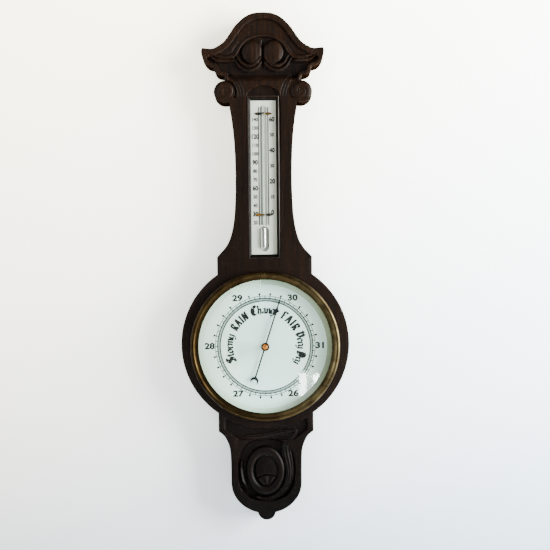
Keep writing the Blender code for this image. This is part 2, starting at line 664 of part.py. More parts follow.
def make_scale():
    """The opal glass scale with its slot for the bulb and its holes for the clips' pins."""
    across = (-SCALE_X, SCALE_X)
    up = (SCALE_LOW, SCALE_HIGH)
    scale = block("thermometer_scale", "opal_glass", across, up, SCALE_BACK, SCALE_FRONT)
    slot = arc((0.0, 174.5), 7.0, 0.0, 180.0, 10) + arc((0.0, 150.5), 7.0, 180.0, 360.0, 10)
    cut(scale, slab("bulb_slot", None, slot, SCALE_BACK - PAST, SCALE_FRONT + PAST))
    for z in CLIP_HEIGHTS:
        for x in (-CLIP_PIN_X, CLIP_PIN_X):
            drill(scale, CLIP_PIN_HOLE, 23.0, 30.0, x, z, 10)


def make_thermometer():
    """The thermometer's scale, glass tube, mercury bulb, clips and wooden frame."""
    make_scale()
    dome = arc((0.0, TUBE_HIGH - TUBE_RADIUS), TUBE_RADIUS, 0.0, 90.0, 5)
    tube = [(0.0, TUBE_LOW), (TUBE_RADIUS, TUBE_LOW), *dome]
    place = (0.0, TUBE_DEPTH, 0.0)
    turned("thermometer_tube", "glass", tube, 20, place, "up")
    low = arc((0.0, BULB_LOW + BULB_RADIUS), BULB_RADIUS, -90.0, 0.0, 4)
    high = arc((0.0, TUBE_LOW - GAP - BULB_RADIUS), BULB_RADIUS, 0.0, 90.0, 4)
    turned("mercury_bulb", "mercury", low + high, 20, place, "up")
    for number, z in enumerate(CLIP_HEIGHTS, 1):
        make_clip(number, z)
    make_thermometer_frame()


def make_thermometer_frame():
    """The chamfered bead that holds the scale in its pocket."""
    right = POCKET_X - GAP
    low = POCKET_LOW + GAP
    high = POCKET_HIGH - GAP
    foot = SCALE_FRONT + GAP
    steps = [
        (0.0, 0.0, foot), (0.0, 0.0, FRAME_FRONT), (1.6, 1.6, FRAME_FRONT),
        (4.9, 6.2, FRAME_LIP), (4.9, 6.2, foot),
    ]
    outlines = []
    for side, end, depth in steps:
        x = right - side
        bottom = low + end
        top = high - end
        outlines.append(([(-x, bottom), (x, bottom), (x, top), (-x, top)], depth))
    ring_solid("thermometer_frame", "ebonised", outlines)


def main():
    """Build the whole barometer."""
    clear_scene()
    make_board()
    make_back()
    make_bezel()
    make_dial()
    make_capsule()
    make_spring()
    make_rocker()
    make_hand_train()
    make_hands()
    make_thermometer()


main()
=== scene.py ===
"""Looks of the banjo barometer: carved oak, aged brass, bevelled glass, printed dial."""

import json
from math import cos, degrees, pi, radians, sin

import bmesh
import bpy
import numpy as np
from mathutils import Matrix, Vector
from mathutils.geometry import delaunay_2d_cdt


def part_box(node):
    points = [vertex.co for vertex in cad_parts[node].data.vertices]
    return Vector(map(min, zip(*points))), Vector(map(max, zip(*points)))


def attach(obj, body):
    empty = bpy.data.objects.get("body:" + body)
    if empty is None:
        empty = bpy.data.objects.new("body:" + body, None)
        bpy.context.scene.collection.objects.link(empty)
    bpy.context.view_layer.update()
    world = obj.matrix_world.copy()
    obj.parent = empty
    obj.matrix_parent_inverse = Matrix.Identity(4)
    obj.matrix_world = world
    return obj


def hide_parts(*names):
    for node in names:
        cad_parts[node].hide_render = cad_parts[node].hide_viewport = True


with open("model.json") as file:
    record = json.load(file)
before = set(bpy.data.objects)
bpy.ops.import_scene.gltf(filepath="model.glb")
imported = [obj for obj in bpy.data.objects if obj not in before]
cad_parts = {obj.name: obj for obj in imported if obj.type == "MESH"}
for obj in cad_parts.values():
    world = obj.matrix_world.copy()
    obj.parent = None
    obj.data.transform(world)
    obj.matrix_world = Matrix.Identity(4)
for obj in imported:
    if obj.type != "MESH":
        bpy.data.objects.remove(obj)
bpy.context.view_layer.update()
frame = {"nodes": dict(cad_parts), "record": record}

MM = 0.001

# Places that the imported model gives, in millimetres. Depths run forward from the wall.
BOARD_FRONT = -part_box("case_board")[0][1] / MM
DIAL_FACE = -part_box("dial_plate")[0][1] / MM
SCALE_BOX = [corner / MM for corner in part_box("thermometer_scale")]
FRAME_BOX = [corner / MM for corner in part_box("thermometer_frame")]
TUBE_BOX = [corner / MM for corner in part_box("thermometer_tube")]
BULB_BOX = [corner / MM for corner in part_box("mercury_bulb")]
HAND_BOX = [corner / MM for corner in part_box("indicating_hand")]
SET_HAND_BOX = [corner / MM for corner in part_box("set_hand")]
KNOB_BOX = [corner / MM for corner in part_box("set_hand_knob")]

# The case and its fittings, in millimetres and degrees.
HEAD = (0.0, 4.0)
HEAD_RADIUS = 127.0
WELL_RADIUS = 104.2
COVER_RADIUS = 101.0
INNER_WELL_RADIUS = 94.0
LEDGE_DEPTH = 27.0
NEST_DEPTH = 1.8
NAIL_DEPTH = 10.0
BACK_CHAMFER = 0.7
CARVED_ABOVE = 376.0
CARVED_BELOW = -100.0
CARVED_GRID = 1.15
PLAIN_GRID = 5.0
HANGER_NEST = ((-13.3, 13.3), (445.7, 482.3))
NAIL_HOLE = ((-6.0, 6.0), (449.0, 476.0))
POCKET_X = 24.4
POCKET_Z = (132.5, 379.4)
POCKET_DEPTH = 24.0
SCROLL = (57.5, 386.0)
BEVEL_START = 93.2
HAND_REST = 18.0
KNOB_RIDGES = 36
DIAL_START = -222.0
TOP_INCHES = 29.5
DEGREES_PER_INCH = 60.0
SCALE_FOOT, SCALE_HEAD = 183.5, 363.0
INK_GAP = 0.02
INK_THICKNESS = 0.03

# The studio and the camera, in metres and degrees, but the lens in millimetres.
FLOOR = -1.1
WALL_FACE = 0.0006
CAMERA_PLACE = (0.0157, -1.434, 0.1076)
CAMERA_LENS = 60.55
CAMERA_ROLL = -0.55

# ---------------------------------------------------------------- small tools


def arc(centre, radius, start, end, steps):
    """Points on a circular or elliptical arc, angles in degrees from +X towards +Z."""
    across, up = radius if isinstance(radius, tuple) else (radius, radius)
    angles = [radians(start + (end - start) * i / steps) for i in range(steps + 1)]
    return [(centre[0] + across * cos(a), centre[1] + up * sin(a)) for a in angles]


def circle(radius, steps=144):
    """A closed loop round the dial's centre."""
    return arc((0.0, 0.0), radius, 0.0, 360.0, steps)[:-1]


def rectangle(x, z):
    """The four corners of a rectangle."""
    return [(x[0], z[0]), (x[1], z[0]), (x[1], z[1]), (x[0], z[1])]


def smooth_run(points, steps=5):
    """A smooth curve through the points, with the given steps between neighbours."""
    first = [2 * a - b for a, b in zip(points[0], points[1])]
    last = [2 * a - b for a, b in zip(points[-1], points[-2])]
    knots = [Vector(p) for p in [first, *points, last]]
    run = []
    for a, b, c, d in zip(knots, knots[1:], knots[2:], knots[3:]):
        for i in range(steps):
            t = i / steps
            bend = (2 * a - 5 * b + 4 * c - d) * t * t + (3 * b - a - 3 * c + d) * t ** 3
            run.append(tuple(b + ((c - a) * t + bend) / 2))
    return run + [tuple(points[-1])]


def ease(value):
    """0 below 0, 1 above 1 and a smooth step between."""
    t = np.clip(value, 0.0, 1.0)
    return t * t * (3.0 - 2.0 * t)


def oval(x, z, centre, radii):
    """0 at the middle of an ellipse and 1 on its edge."""
    return np.hypot((x - centre[0]) / radii[0], (z - centre[1]) / radii[1])


def dome(q):
    """A round crown over an ellipse, 1 in the middle and 0 at the edge."""
    return np.sqrt(np.clip(1.0 - q * q, 0.0, 1.0))


def follow(x, z, path):
    """Signed distance to the left of a path, and how far along it each point lies, 0 to 1."""
    points = np.array(path)
    best = np.full(x.shape, 1e9)
    side = np.zeros(x.shape)
    along = np.zeros(x.shape)
    spans = len(points) - 1
    for i in range(spans):
        step = points[i + 1] - points[i]
        length = float(np.hypot(*step))
        t = np.clip(((x - points[i][0]) * step[0] + (z - points[i][1]) * step[1]) / length ** 2, 0.0, 1.0)
        away_x = x - points[i][0] - t * step[0]
        away_z = z - points[i][1] - t * step[1]
        gap = np.hypot(away_x, away_z)
        near = gap < best
        best = np.where(near, gap, best)
        side = np.where(near, gap * np.sign(step[0] * away_z - step[1] * away_x), side)
        along = np.where(near, (i + t) / spans, along)
    return side, along


def turn_clockwise(points, degrees):
    """Points turned clockwise as the dial reads from the front."""
    c = cos(radians(degrees))
    s = sin(radians(degrees))
    return [(x * c + z * s, z * c - x * s) for x, z in points]


# ---------------------------------------------------------------- meshes


def inside(points, loop):
    """Whether each point lies inside a loop."""
    x, z = points[:, 0], points[:, 1]
    result = np.zeros(len(points), dtype=bool)
    for (ax, az), (bx, bz) in zip(loop, loop[1:] + loop[:1]):
        if az == bz:
            continue
        crosses = (az > z) != (bz > z)
        result ^= crosses & (x < ax + (bx - ax) * (z - az) / (bz - az))
    return result


def triangulate(loops, spots):
    """Triangles over the loops' region, with the extra points inside it."""
    count = sum(len(loop) for loop in loops)
    points = [tuple(p) for loop in loops for p in loop] + [tuple(p) for p in spots]
    edges = []
    start = 0
    for loop in loops:
        edges += [(start + i, start + (i + 1) % len(loop)) for i in range(len(loop))]
        start += len(loop)
    made = delaunay_2d_cdt([Vector(p) for p in points], edges, [], 0, 1e-5, True)
    flat = np.array([tuple(v) for v in made[0]])
    faces = np.array([f for f in made[2] if len(f) == 3])
    middle = flat[faces].mean(axis=1)
    keep = inside(middle, loops[0])
    for hole in loops[1:]:
        keep &= ~inside(middle, hole)
    spot_of = {}
    for index, sources in enumerate(made[3]):
        for source in sources:
            if source < count:
                spot_of[source] = index
    return flat, faces[keep], [spot_of[i] for i in range(count)]


class Solid:
    """Gathers vertices and faces, in millimetres, with depths forward from the wall."""

    def __init__(self):
        self.verts = []
        self.faces = []

    def loop(self, outline, depth):
        start = len(self.verts)
        self.verts += [(x, -depth, z) for x, z in outline]
        return list(range(start, start + len(outline)))

    def bridge(self, near, far):
        for i in range(len(near)):
            j = (i + 1) % len(near)
            self.faces.append((near[i], near[j], far[j], far[i]))

    def sleeve(self, rings):
        """Bridge a run of rings that comes back to its start."""
        for near, far in zip(rings, rings[1:] + rings[:1]):
            self.bridge(near, far)

    def close(self, ring):
        self.faces.append(tuple(ring))

    def skin(self, loops, depth):
        """A flat face with holes; returns each loop's vertices."""
        flat, faces, spots = triangulate(loops, [])
        start = len(self.verts)
        self.verts += [(x, -depth, z) for x, z in flat]
        self.faces += [tuple(int(i) + start for i in face) for face in faces]
        rings = []
        used = 0
        for loop in loops:
            rings.append([spots[used + i] + start for i in range(len(loop))])
            used += len(loop)
        return rings

    def walls(self, ring, outline, depths):
        """Walls from a ring of vertices through the given depths; returns the last ring."""
        for depth in depths:
            fresh = self.loop(outline, depth)
            self.bridge(ring, fresh)
            ring = fresh
        return ring

    def piece(self, name, material, body="case", angle=35.0):
        """The mesh as a named piece that rides on a body, its faces turned out."""
        mesh = bpy.data.meshes.new(name)
        mesh.from_pydata([tuple(c * MM for c in v) for v in self.verts], [], self.faces)
        shape = bmesh.new()
        shape.from_mesh(mesh)
        bmesh.ops.remove_doubles(shape, verts=shape.verts, dist=1e-7)
        bmesh.ops.recalc_face_normals(shape, faces=shape.faces)
        shape.to_mesh(mesh)
        shape.free()
        mesh.shade_smooth()
        mesh.set_sharp_from_angle(angle=radians(angle))
        mesh.materials.append(material)
        item = bpy.data.objects.new(name, mesh)
        bpy.context.scene.collection.objects.link(item)
        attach(item, body)
        return item


def turned(name, profile, material, body="case", segments=128, at=(0, 0, 0), up=False, angle=35.0,
           mill=None):
    """A turned piece from a closed profile of (radius, distance along its axis); mill trims the radii."""
    solid = Solid()
    rings = []
    for i in range(segments):
        c = cos(2 * pi * i / segments)
        s = sin(2 * pi * i / segments)
        start = len(solid.verts)
        for r, along in profile:
            reach = mill(i, r) if mill else r
            x, y = reach * c, reach * s
            spot = (x, y, along) if up else (x, -along, y)
            solid.verts.append((spot[0] + at[0], spot[1] - at[1], spot[2] + at[2]))
        rings.append(range(start, len(solid.verts)))
    solid.sleeve(rings)
    return solid.piece(name, material, body, angle)


# ---------------------------------------------------------------- materials

WHITE = (1.0, 1.0, 1.0)
BLACK = (0.0, 0.0, 0.0)

# Shading ramps, each a list of (position, colour). RISE ramps run from foot to head, the others
# from left to right.
# Painted light on the dial: warmer at the left and right, cooler in the middle, and brighter and bluer
# towards the bottom.
DIAL_LIGHT_ACROSS = [(0.0, (1.03, 0.99, 0.90)), (0.5, (0.91, 0.985, 0.985)), (1.0, (1.0, 1.0, 0.95))]
DIAL_LIGHT_RISE = [(0.0, (1.22, 1.24, 1.27)), (0.35, WHITE), (1.0, WHITE)]
BEVEL_SHADE = [
    (0.0, (0.94, 0.96, 0.93)), (0.45, (0.88, 0.91, 0.84)),
    (0.8, (0.79, 0.78, 0.69)), (1.0, (0.67, 0.65, 0.55)),
]
GROOVE_SHADE = [
    (0.0, (0.10, 0.115, 0.12)), (0.36, (0.12, 0.135, 0.14)), (0.44, WHITE),
    (0.75, (0.85, 0.86, 0.80)), (1.0, (0.55, 0.56, 0.50)),
]
RECESS_SHADE = [
    (0.0, (0.10, 0.11, 0.10)), (0.12, (0.10, 0.11, 0.10)), (0.17, (0.9, 0.9, 0.85)),
    (0.82, (0.9, 0.9, 0.85)), (0.87, (0.12, 0.13, 0.11)),
]
# Painted light on the oak: darker and bluer at the foot, lighter round the head, lightest and warmest at
# the crest.
WOOD_LIGHT_RISE = [
    (0.0, (0.20, 0.26, 0.36)), (0.35, (1.55, 1.25, 1.10)),
    (0.65, (1.1, 0.95, 0.70)), (1.0, (2.7, 2.1, 1.4)),
]
# Painted shade on the wall's plaster: darker and bluer low down, warm at the top; warm on the left and cool
# on the right.
WALL_SHADE_RISE = [(0.0, (0.315, 0.350, 0.392)), (0.5, (0.66, 0.66, 0.645)), (1.0, (0.95, 0.93, 0.81))]
WALL_LIGHT_TINT = [(0.0, (0.95, 0.89, 0.79)), (1.0, (0.90, 1.02, 1.13))]
# Painted light from the wall's glow: dim and bluish low down, bright and warm at the top; across, dimmer on
# the left with a painted shadow band behind the left of the case.
WALL_GLOW_RISE = [(0.0, (0.10, 0.12, 0.16)), (0.5, (0.55, 0.56, 0.57)), (1.0, (1.0, 0.955, 0.78))]
WALL_GLOW_AND_SHADOW_ACROSS = [
    (0.0, (0.76, 0.75, 0.71)), (0.28, (0.70, 0.69, 0.64)), (0.42, (0.50, 0.47, 0.41)),
    (0.52, (0.62, 0.61, 0.57)), (0.64, (0.97, 0.97, 0.96)), (1.0, WHITE),
]
# Painted light on the bezel: darker on the left, lighter and greener on the right.
BEZEL_LIGHT_ACROSS = [(0.0, (0.38, 0.33, 0.27)), (0.55, (0.62, 0.56, 0.48)), (1.0, (1.30, 1.42, 1.40))]
WAX_RISE = [(0.08, (0.62, 0.62, 0.62)), (0.26, WHITE), (0.55, (0.72, 0.72, 0.72))]
# Painted shadow on the scale plate's right edge, darker and yellower.
SCALE_EDGE_SHADOW = [(0.0, WHITE), (1.0, (0.74, 0.72, 0.60))]

# The heights in metres that the ramps of wood and wall span, and how bright the wall glows.
WOOD_SPAN = (-0.25, 0.50)
WALL_SPAN = (-0.32, 0.52)
WALL_GLOW = 3.0


class Shader:
    """A material's node tree with short ways to add its nodes."""

    def __init__(self, name, **values):
        self.material = bpy.data.materials.new(name)
        self.material.use_nodes = True
        self.tree = self.material.node_tree
        self.base = self.tree.nodes["Principled BSDF"]
        self.coordinate = self.node("ShaderNodeTexCoord").outputs["Object"]
        for key, value in values.items():
            self.base.inputs[key.replace("_", " ")].default_value = value

    def join(self, source, target):
        self.tree.links.new(source, target)

    def feed(self, target, value):
        """Join a socket to an input, or give the input a plain value."""
        if isinstance(value, bpy.types.NodeSocket):
            self.join(value, target)
        else:
            target.default_value = value

    def node(self, kind, **settings):
        """A new node; names with a capital are its inputs, the others its own settings."""
        made = self.tree.nodes.new(kind)
        for key, value in settings.items():
            if key[0].isupper():
                self.feed(made.inputs[key.replace("_", " ")], value)
            else:
                setattr(made, key, value)
        return made

    def set(self, name, source):
        self.join(source, self.base.inputs[name])

    def surface(self, factor, first, second):
        """Mix two surfaces and make that the material's."""
        mix = self.node("ShaderNodeMixShader", Fac=factor)
        self.join(first, mix.inputs[1])
        self.join(second, mix.inputs[2])
        self.join(mix.outputs["Shader"], self.tree.nodes["Material Output"].inputs["Surface"])

    def noise(self, scale, detail=4.0, roughness=0.55, distortion=0.0):
        """Noise in object coordinates; three scales stretch it, for grain along one axis."""
        stretch = (scale, scale, scale) if isinstance(scale, float) else scale
        mapping = self.node("ShaderNodeMapping", Vector=self.coordinate, Scale=stretch)
        made = self.node(
            "ShaderNodeTexNoise", Vector=mapping.outputs["Vector"], Scale=1.0, Detail=detail,
            Roughness=roughness, Distortion=distortion)
        return made.outputs["Fac"]

    def ramp(self, source, stops):
        """A colour ramp; each stop is (position, colour)."""
        made = self.node("ShaderNodeValToRGB", Fac=source)
        elements = made.color_ramp.elements
        while len(elements) < len(stops):
            elements.new(0.5)
        for element, (position, colour) in zip(elements, stops):
            element.position = position
            element.color = (*colour, 1.0)
        return made.outputs["Color"]

    def blend(self, factor, first, second, mode="MIX"):
        """Mix two colours; each may be a socket or a plain colour."""
        made = self.node("ShaderNodeMix", data_type="RGBA", blend_type=mode)
        self.feed(made.inputs[0], factor)
        for index, value in ((6, first), (7, second)):
            self.feed(made.inputs[index], (*value, 1.0) if isinstance(value, tuple) else value)
        return made.outputs[2]

    def multiply(self, first, second, factor=1.0):
        return self.blend(factor, first, second, "MULTIPLY")

    def spread(self, source, low, high):
        """Map a 0 to 1 value onto a range."""
        return self.node("ShaderNodeMapRange", Value=source, To_Min=low, To_Max=high).outputs["Result"]

    def between(self, source, low, high):
        """Where a value lies from low to high, as 0 to 1."""
        return self.node("ShaderNodeMapRange", Value=source, From_Min=low, From_Max=high).outputs["Result"]

    def bump(self, height, strength, distance, **under):
        """A bump on the shader's normal, laid over another one given as Normal."""
        made = self.node("ShaderNodeBump", Strength=strength, Distance=distance, Height=height, **under)
        self.set("Normal", made.outputs["Normal"])
        return made.outputs["Normal"]

    def part(self, axis):
        """One axis of the object coordinates."""
        return self.node("ShaderNodeSeparateXYZ", Vector=self.coordinate).outputs[axis]

    def front(self):
        """The Y part of the surface's direction: -1 on the front, 1 on the back."""
        normal = self.node("ShaderNodeNewGeometry").outputs["True Normal"]
        return self.node("ShaderNodeSeparateXYZ", Vector=normal).outputs["Y"]

    def over(self, source, level):
        """1 where a value is over the level, else 0."""
        test = self.node("ShaderNodeMath", operation="GREATER_THAN", Value=source)
        test.inputs[1].default_value = level
        return test.outputs["Value"]

    def across(self, half):
        """From left to right over a band round the middle line, as 0 to 1."""
        return self.between(self.part("X"), -half, half)

    def radius(self, centre=(0.0, 0.0)):
        """Distance from the dial's axis, or from a line beside it."""
        flat = self.node("ShaderNodeCombineXYZ", X=self.part("X"), Y=self.part("Z"))
        away = self.node("ShaderNodeVectorMath", operation="DISTANCE", Vector=flat.outputs["Vector"])
        away.inputs[1].default_value = (*centre, 0.0)
        return away.outputs["Value"]


def oak(name, dark, light, rough, gloss):
    """Dark stained oak: long grain, open pores and cross flecks under a thin wax, with painted shade in the
    carved recesses and painted light that changes its tone from foot to head.
    """
    shader = Shader(name, Metallic=0.0)
    grain = shader.noise((230.0, 230.0, 9.0), 6.0, 0.62, 0.25)
    figure = shader.noise((26.0, 26.0, 3.2), 3.0, 0.5, 0.8)
    pores = shader.noise((900.0, 900.0, 42.0), 3.0, 0.6)
    fleck = shader.noise((60.0, 60.0, 210.0), 2.0, 0.4)
    tone = shader.ramp(grain, [(0.32, dark), (0.70, light)])
    shade = shader.ramp(figure, [(0.30, (0.55, 0.52, 0.50)), (0.72, (1.25, 1.2, 1.15))])
    tone = shader.multiply(tone, shade, 0.75)
    pore = shader.ramp(pores, [(0.36, (0.25, 0.25, 0.25)), (0.46, WHITE)])
    tone = shader.multiply(tone, pore, 0.8)
    glint = shader.ramp(fleck, [(0.62, BLACK), (0.74, (0.0020, 0.0014, 0.0010))])
    tone = shader.blend(0.7, tone, glint, "ADD")
    # Painted shade in the carved recesses.
    tone = shader.multiply(tone, recess_dirt(shader))
    # Painted light: the wood's tone changes with height.
    height = shader.between(shader.part("Z"), *WOOD_SPAN)
    tone = shader.multiply(tone, shader.ramp(height, WOOD_LIGHT_RISE))
    raw = shader.ramp(grain, [(0.30, (0.030, 0.018, 0.010)), (0.70, (0.070, 0.044, 0.024))])
    raw = shader.multiply(raw, pore, 0.6)
    shader.set("Base Color", shader.blend(shader.over(shader.front(), 0.5), tone, raw))
    shader.set("Roughness", shader.spread(figure, *rough))
    wax = shader.blend(shader.over(shader.front(), -0.25), shader.ramp(height, WAX_RISE), BLACK)
    shader.set("Specular IOR Level", shader.spread(wax, 0.0, gloss * 1.4))
    first = shader.bump(pore, 0.35, 0.00025)
    second = shader.bump(grain, 0.30, 0.00035, Normal=first)
    wobble = shader.noise((34.0, 34.0, 18.0), 2.0)
    shader.bump(wobble, 0.35, 0.0012, Normal=second)
    return shader.material


def recess_dirt(shader):
    """Painted shade: darker where the carving is cut below the flat front."""
    depth = shader.between(shader.part("Y"), -BOARD_FRONT * MM, -(BOARD_FRONT - 4.5) * MM)
    dark = shader.ramp(depth, [(0.25, WHITE), (0.9, (0.42, 0.40, 0.38))])
    return shader.blend(shader.over(shader.front(), -0.25), dark, WHITE)


def brass(name, clean, brown, cover=(0.35, 0.62), tint=None):
    """Brass that has browned unevenly; tint is a ramp of painted light laid across it from left to right.
    """
    shader = Shader(name, Metallic=1.0)
    patina = shader.noise(46.0, 6.0, 0.62, 0.4)
    speck = shader.noise(620.0, 3.0, 0.6)
    tone = shader.ramp(patina, [(cover[0], brown), (cover[1], clean)])
    spots = shader.ramp(speck, [(0.34, (0.45, 0.40, 0.36)), (0.46, WHITE)])
    tone = shader.multiply(tone, spots, 0.6)
    # Painted light: the tint ramp makes one side darker and the other lighter.
    if tint:
        across = shader.across(0.11)
        tone = shader.multiply(tone, shader.ramp(across, tint))
    shader.set("Base Color", tone)
    shader.set("Roughness", shader.spread(patina, 0.46, 0.22))
    shader.bump(speck, 0.12, 0.0002)
    return shader.material


def metal(name, colour, shade, rough=(0.25, 0.45), strength=0.1):
    """Plain metal with a faint mottle and a fine surface."""
    shader = Shader(name, Metallic=1.0)
    mottle = shader.noise(70.0, 5.0, 0.6)
    fine = shader.noise(300.0, 3.0, 0.5)
    shader.set("Base Color", shader.ramp(mottle, [(0.3, shade), (0.7, colour)]))
    shader.set("Roughness", shader.spread(mottle, rough[1], rough[0]))
    shader.bump(fine, strength, 0.0001)
    return shader.material


def printed_dial():
    """Silvery white dial enamel with faint clouding, dust, and a yellow and a grey stain, under painted
    light that is warmer at the sides and brighter and bluer towards the bottom.
    """
    shader = Shader("dial_enamel", Metallic=0.0)
    cloud = shader.noise(9.0, 4.0, 0.5)
    speck = shader.noise(420.0, 4.0, 0.6)
    tone = shader.ramp(cloud, [(0.3, (0.330, 0.440, 0.425)), (0.7, (0.385, 0.495, 0.472))])
    dust = shader.ramp(speck, [(0.30, (0.86, 0.85, 0.80)), (0.40, WHITE)])
    tone = shader.multiply(tone, dust, 0.6)
    # Painted light across and up the dial.
    across = shader.across(0.09)
    tone = shader.multiply(tone, shader.ramp(across, DIAL_LIGHT_ACROSS))
    rise = shader.between(shader.part("Z"), -0.09, 0.09)
    tone = shader.multiply(tone, shader.ramp(rise, DIAL_LIGHT_RISE))
    tone = shader.blend(stain(shader, (-0.041, 0.036), 0.006), tone, (0.66, 0.60, 0.36))
    tone = shader.blend(stain(shader, (0.004, 0.046), 0.004), tone, (0.48, 0.50, 0.48))
    shader.set("Base Color", tone)
    shader.set("Roughness", shader.spread(cloud, 0.42, 0.55))
    shader.bump(speck, 0.04, 0.0001)
    return shader.material


def stain(shader, centre, radius):
    """A soft round mark on the dial, strongest in its middle."""
    fade = shader.node(
        "ShaderNodeMapRange", interpolation_type="SMOOTHSTEP", Value=shader.radius(centre),
        From_Min=radius, From_Max=radius * 0.2, To_Max=0.45)
    return fade.outputs["Result"]


def rubbed_knob():
    """The set knob's brass: black round the rim, rubbed coppery in the middle."""
    shader = Shader("knob_brass", Metallic=1.0)
    patina = shader.noise(260.0, 4.0, 0.6)
    rubbed = shader.ramp(patina, [(0.35, (0.11, 0.040, 0.009)), (0.65, (0.24, 0.092, 0.021))])
    dark = shader.ramp(patina, [(0.35, (0.005, 0.003, 0.002)), (0.65, (0.016, 0.009, 0.005))])
    rim = shader.over(shader.radius(), 0.0041)
    shader.set("Base Color", shader.blend(rim, rubbed, dark))
    shader.set("Roughness", shader.spread(patina, 0.45, 0.28))
    shader.bump(patina, 0.15, 0.0002)
    return shader.material


def bulb_mercury():
    """Mercury in the bulb with a painted reflection: a bright line down the middle between dark sides."""
    shader = Shader("bulb_mercury", Metallic=1.0)
    film = shader.noise((300.0, 300.0, 90.0), 3.0, 0.5)
    # Painted reflection: bright down the middle, dark at the sides.
    across = shader.across(0.00275)
    stops = [(0.0, 0.01), (0.30, 0.05), (0.42, 0.75), (0.66, 0.85), (0.80, 0.16), (1.0, 0.02)]
    tone = shader.ramp(across, [(place, (v, v * 1.01, v * 1.03)) for place, v in stops])
    shader.set("Base Color", shader.multiply(tone, film, 0.25))
    shader.set("Roughness", shader.spread(film, 0.10, 0.22))
    return shader.material


def opal():
    """Opal glass of the scale: grey white, glazed, flecked with dirt, with painted shade in its groove and
    bulb recess and a painted shadow that darkens and yellows its right edge.
    """
    shader = Shader("scale_opal", Metallic=0.0, Coat_Roughness=0.12)
    cloud = shader.noise((22.0, 22.0, 12.0), 4.0, 0.55)
    speck = shader.noise(500.0, 4.0, 0.6)
    tone = shader.ramp(cloud, [(0.3, (0.22, 0.24, 0.205)), (0.7, (0.28, 0.30, 0.265))])
    dirt = shader.ramp(speck, [(0.32, (0.78, 0.76, 0.68)), (0.42, WHITE)])
    tone = shader.multiply(tone, dirt, 0.7)
    across = shader.across(0.008)
    sunk = shader.over(shader.part("Y"), (SCALE_BOX[0][1] + 0.03) * MM)
    deep = shader.over(shader.part("Y"), (SCALE_BOX[0][1] + 2.2) * MM)
    shade = shader.blend(deep, shader.ramp(across, GROOVE_SHADE), shader.ramp(across, RECESS_SHADE))
    # Painted shadow: the plate darkens and yellows towards its right edge.
    edge = shader.between(shader.part("X"), 0.010, 0.020)
    tone = shader.multiply(tone, shader.ramp(edge, SCALE_EDGE_SHADOW))
    shader.set("Base Color", shader.blend(sunk, tone, shader.multiply(tone, shade)))
    shader.set("Roughness", shader.spread(cloud, 0.25, 0.4))
    shader.set("Coat Weight", shader.spread(sunk, 0.3, 0.0))
    shader.set("Specular IOR Level", shader.spread(sunk, 0.5, 0.03))
    shader.bump(cloud, 0.05, 0.0005)
    return shader.material


def ink(name, colour):
    """Printing ink, slightly uneven."""
    shader = Shader(name, Metallic=0.0, Specular_IOR_Level=0.04)
    wear = shader.noise(380.0, 4.0, 0.6)
    lighter = tuple(c * 3.0 + 0.01 for c in colour)
    shader.set("Base Color", shader.ramp(wear, [(0.16, lighter), (0.30, colour)]))
    shader.set("Roughness", shader.spread(wear, 0.4, 0.6))
    return shader.material


def clear_glass(name, tint, roughness=0.02, gleam=1.0, bevelled=False):
    """Clear glass: lets light straight through and mirrors more at a slant."""
    shader = Shader(name)
    smear = shader.noise(30.0, 3.0)
    colour = (*tint, 1.0)
    if bevelled:
        bevel = shader.over(shader.radius(), BEVEL_START * MM)
        colour = shader.blend(bevel, tint, shader.ramp(shader.across(0.11), BEVEL_SHADE))
    through = shader.node("ShaderNodeBsdfTransparent", Color=colour)
    haze = shader.spread(smear, roughness, roughness + 0.03)
    gloss = shader.node("ShaderNodeBsdfGlossy", Roughness=haze)
    fresnel = shader.node("ShaderNodeFresnel", IOR=1.5)
    mirror = shader.spread(fresnel.outputs["Fac"], 0.0, gleam)
    behind = shader.node("ShaderNodeNewGeometry").outputs["Backfacing"]
    sheen = shader.blend(behind, mirror, BLACK)
    shader.surface(sheen, through.outputs["BSDF"], gloss.outputs["BSDF"])
    shader.tree.nodes.remove(shader.base)
    return shader.material


# ---------------------------------------------------------------- case board


def board_outline():
    """The banjo outline as one closed loop, clockwise from the crest's top."""
    crest = smooth_run([
        (0.0, 506.0), (14.0, 504.8), (28.0, 498.4), (41.0, 486.2), (49.5, 474.0),
        (58.5, 462.0), (67.0, 455.8), (77.0, 451.4), (91.5, 452.7),
    ], 8)
    ear = arc((75.0, 449.0), (18.2, 25.5), 0.0, -90.0, 18)
    under_ear = arc((60.0, 420.0), (13.0, 10.0), 0.0, -90.0, 12)
    scroll = arc(SCROLL, 17.2, 90.0, -111.0, 40)
    neck = smooth_run([
        (50.6, 360.0), (48.3, 346.6), (44.4, 310.0), (42.7, 265.0), (43.3, 222.0),
        (46.0, 188.0), (51.5, 164.2), (58.5, 150.5), (68.0, 139.8), (71.8, 135.5),
    ], 8)
    head = arc(HEAD, HEAD_RADIUS, 55.6, -55.6, 88)
    waist = smooth_run([
        (71.8, -128.5), (65.2, -133.8), (60.6, -139.8), (55.6, -152.0),
        (53.9, -164.0), (53.3, -185.0),
    ], 8)
    foot = arc((0.0, -206.7), (53.2, 46.4), 0.0, -75.5, 40)
    pendant = arc((0.0, -249.6), 13.4, -12.0, -90.0, 18)
    right = crest + ear + under_ear + scroll + neck + head + waist + foot + pendant
    return right + [(-x, z) for x, z in right[-2:0:-1]]


def inset(loop, distance):
    """The loop's points moved inwards by a distance."""
    points = np.array(loop)
    ahead = np.roll(points, -1, axis=0) - points
    behind = points - np.roll(points, 1, axis=0)
    ahead /= np.linalg.norm(ahead, axis=1)[:, None]
    behind /= np.linalg.norm(behind, axis=1)[:, None]
    along = ahead + behind
    along /= np.linalg.norm(along, axis=1)[:, None]
    return points + np.stack([along[:, 1], -along[:, 0]], axis=1) * distance


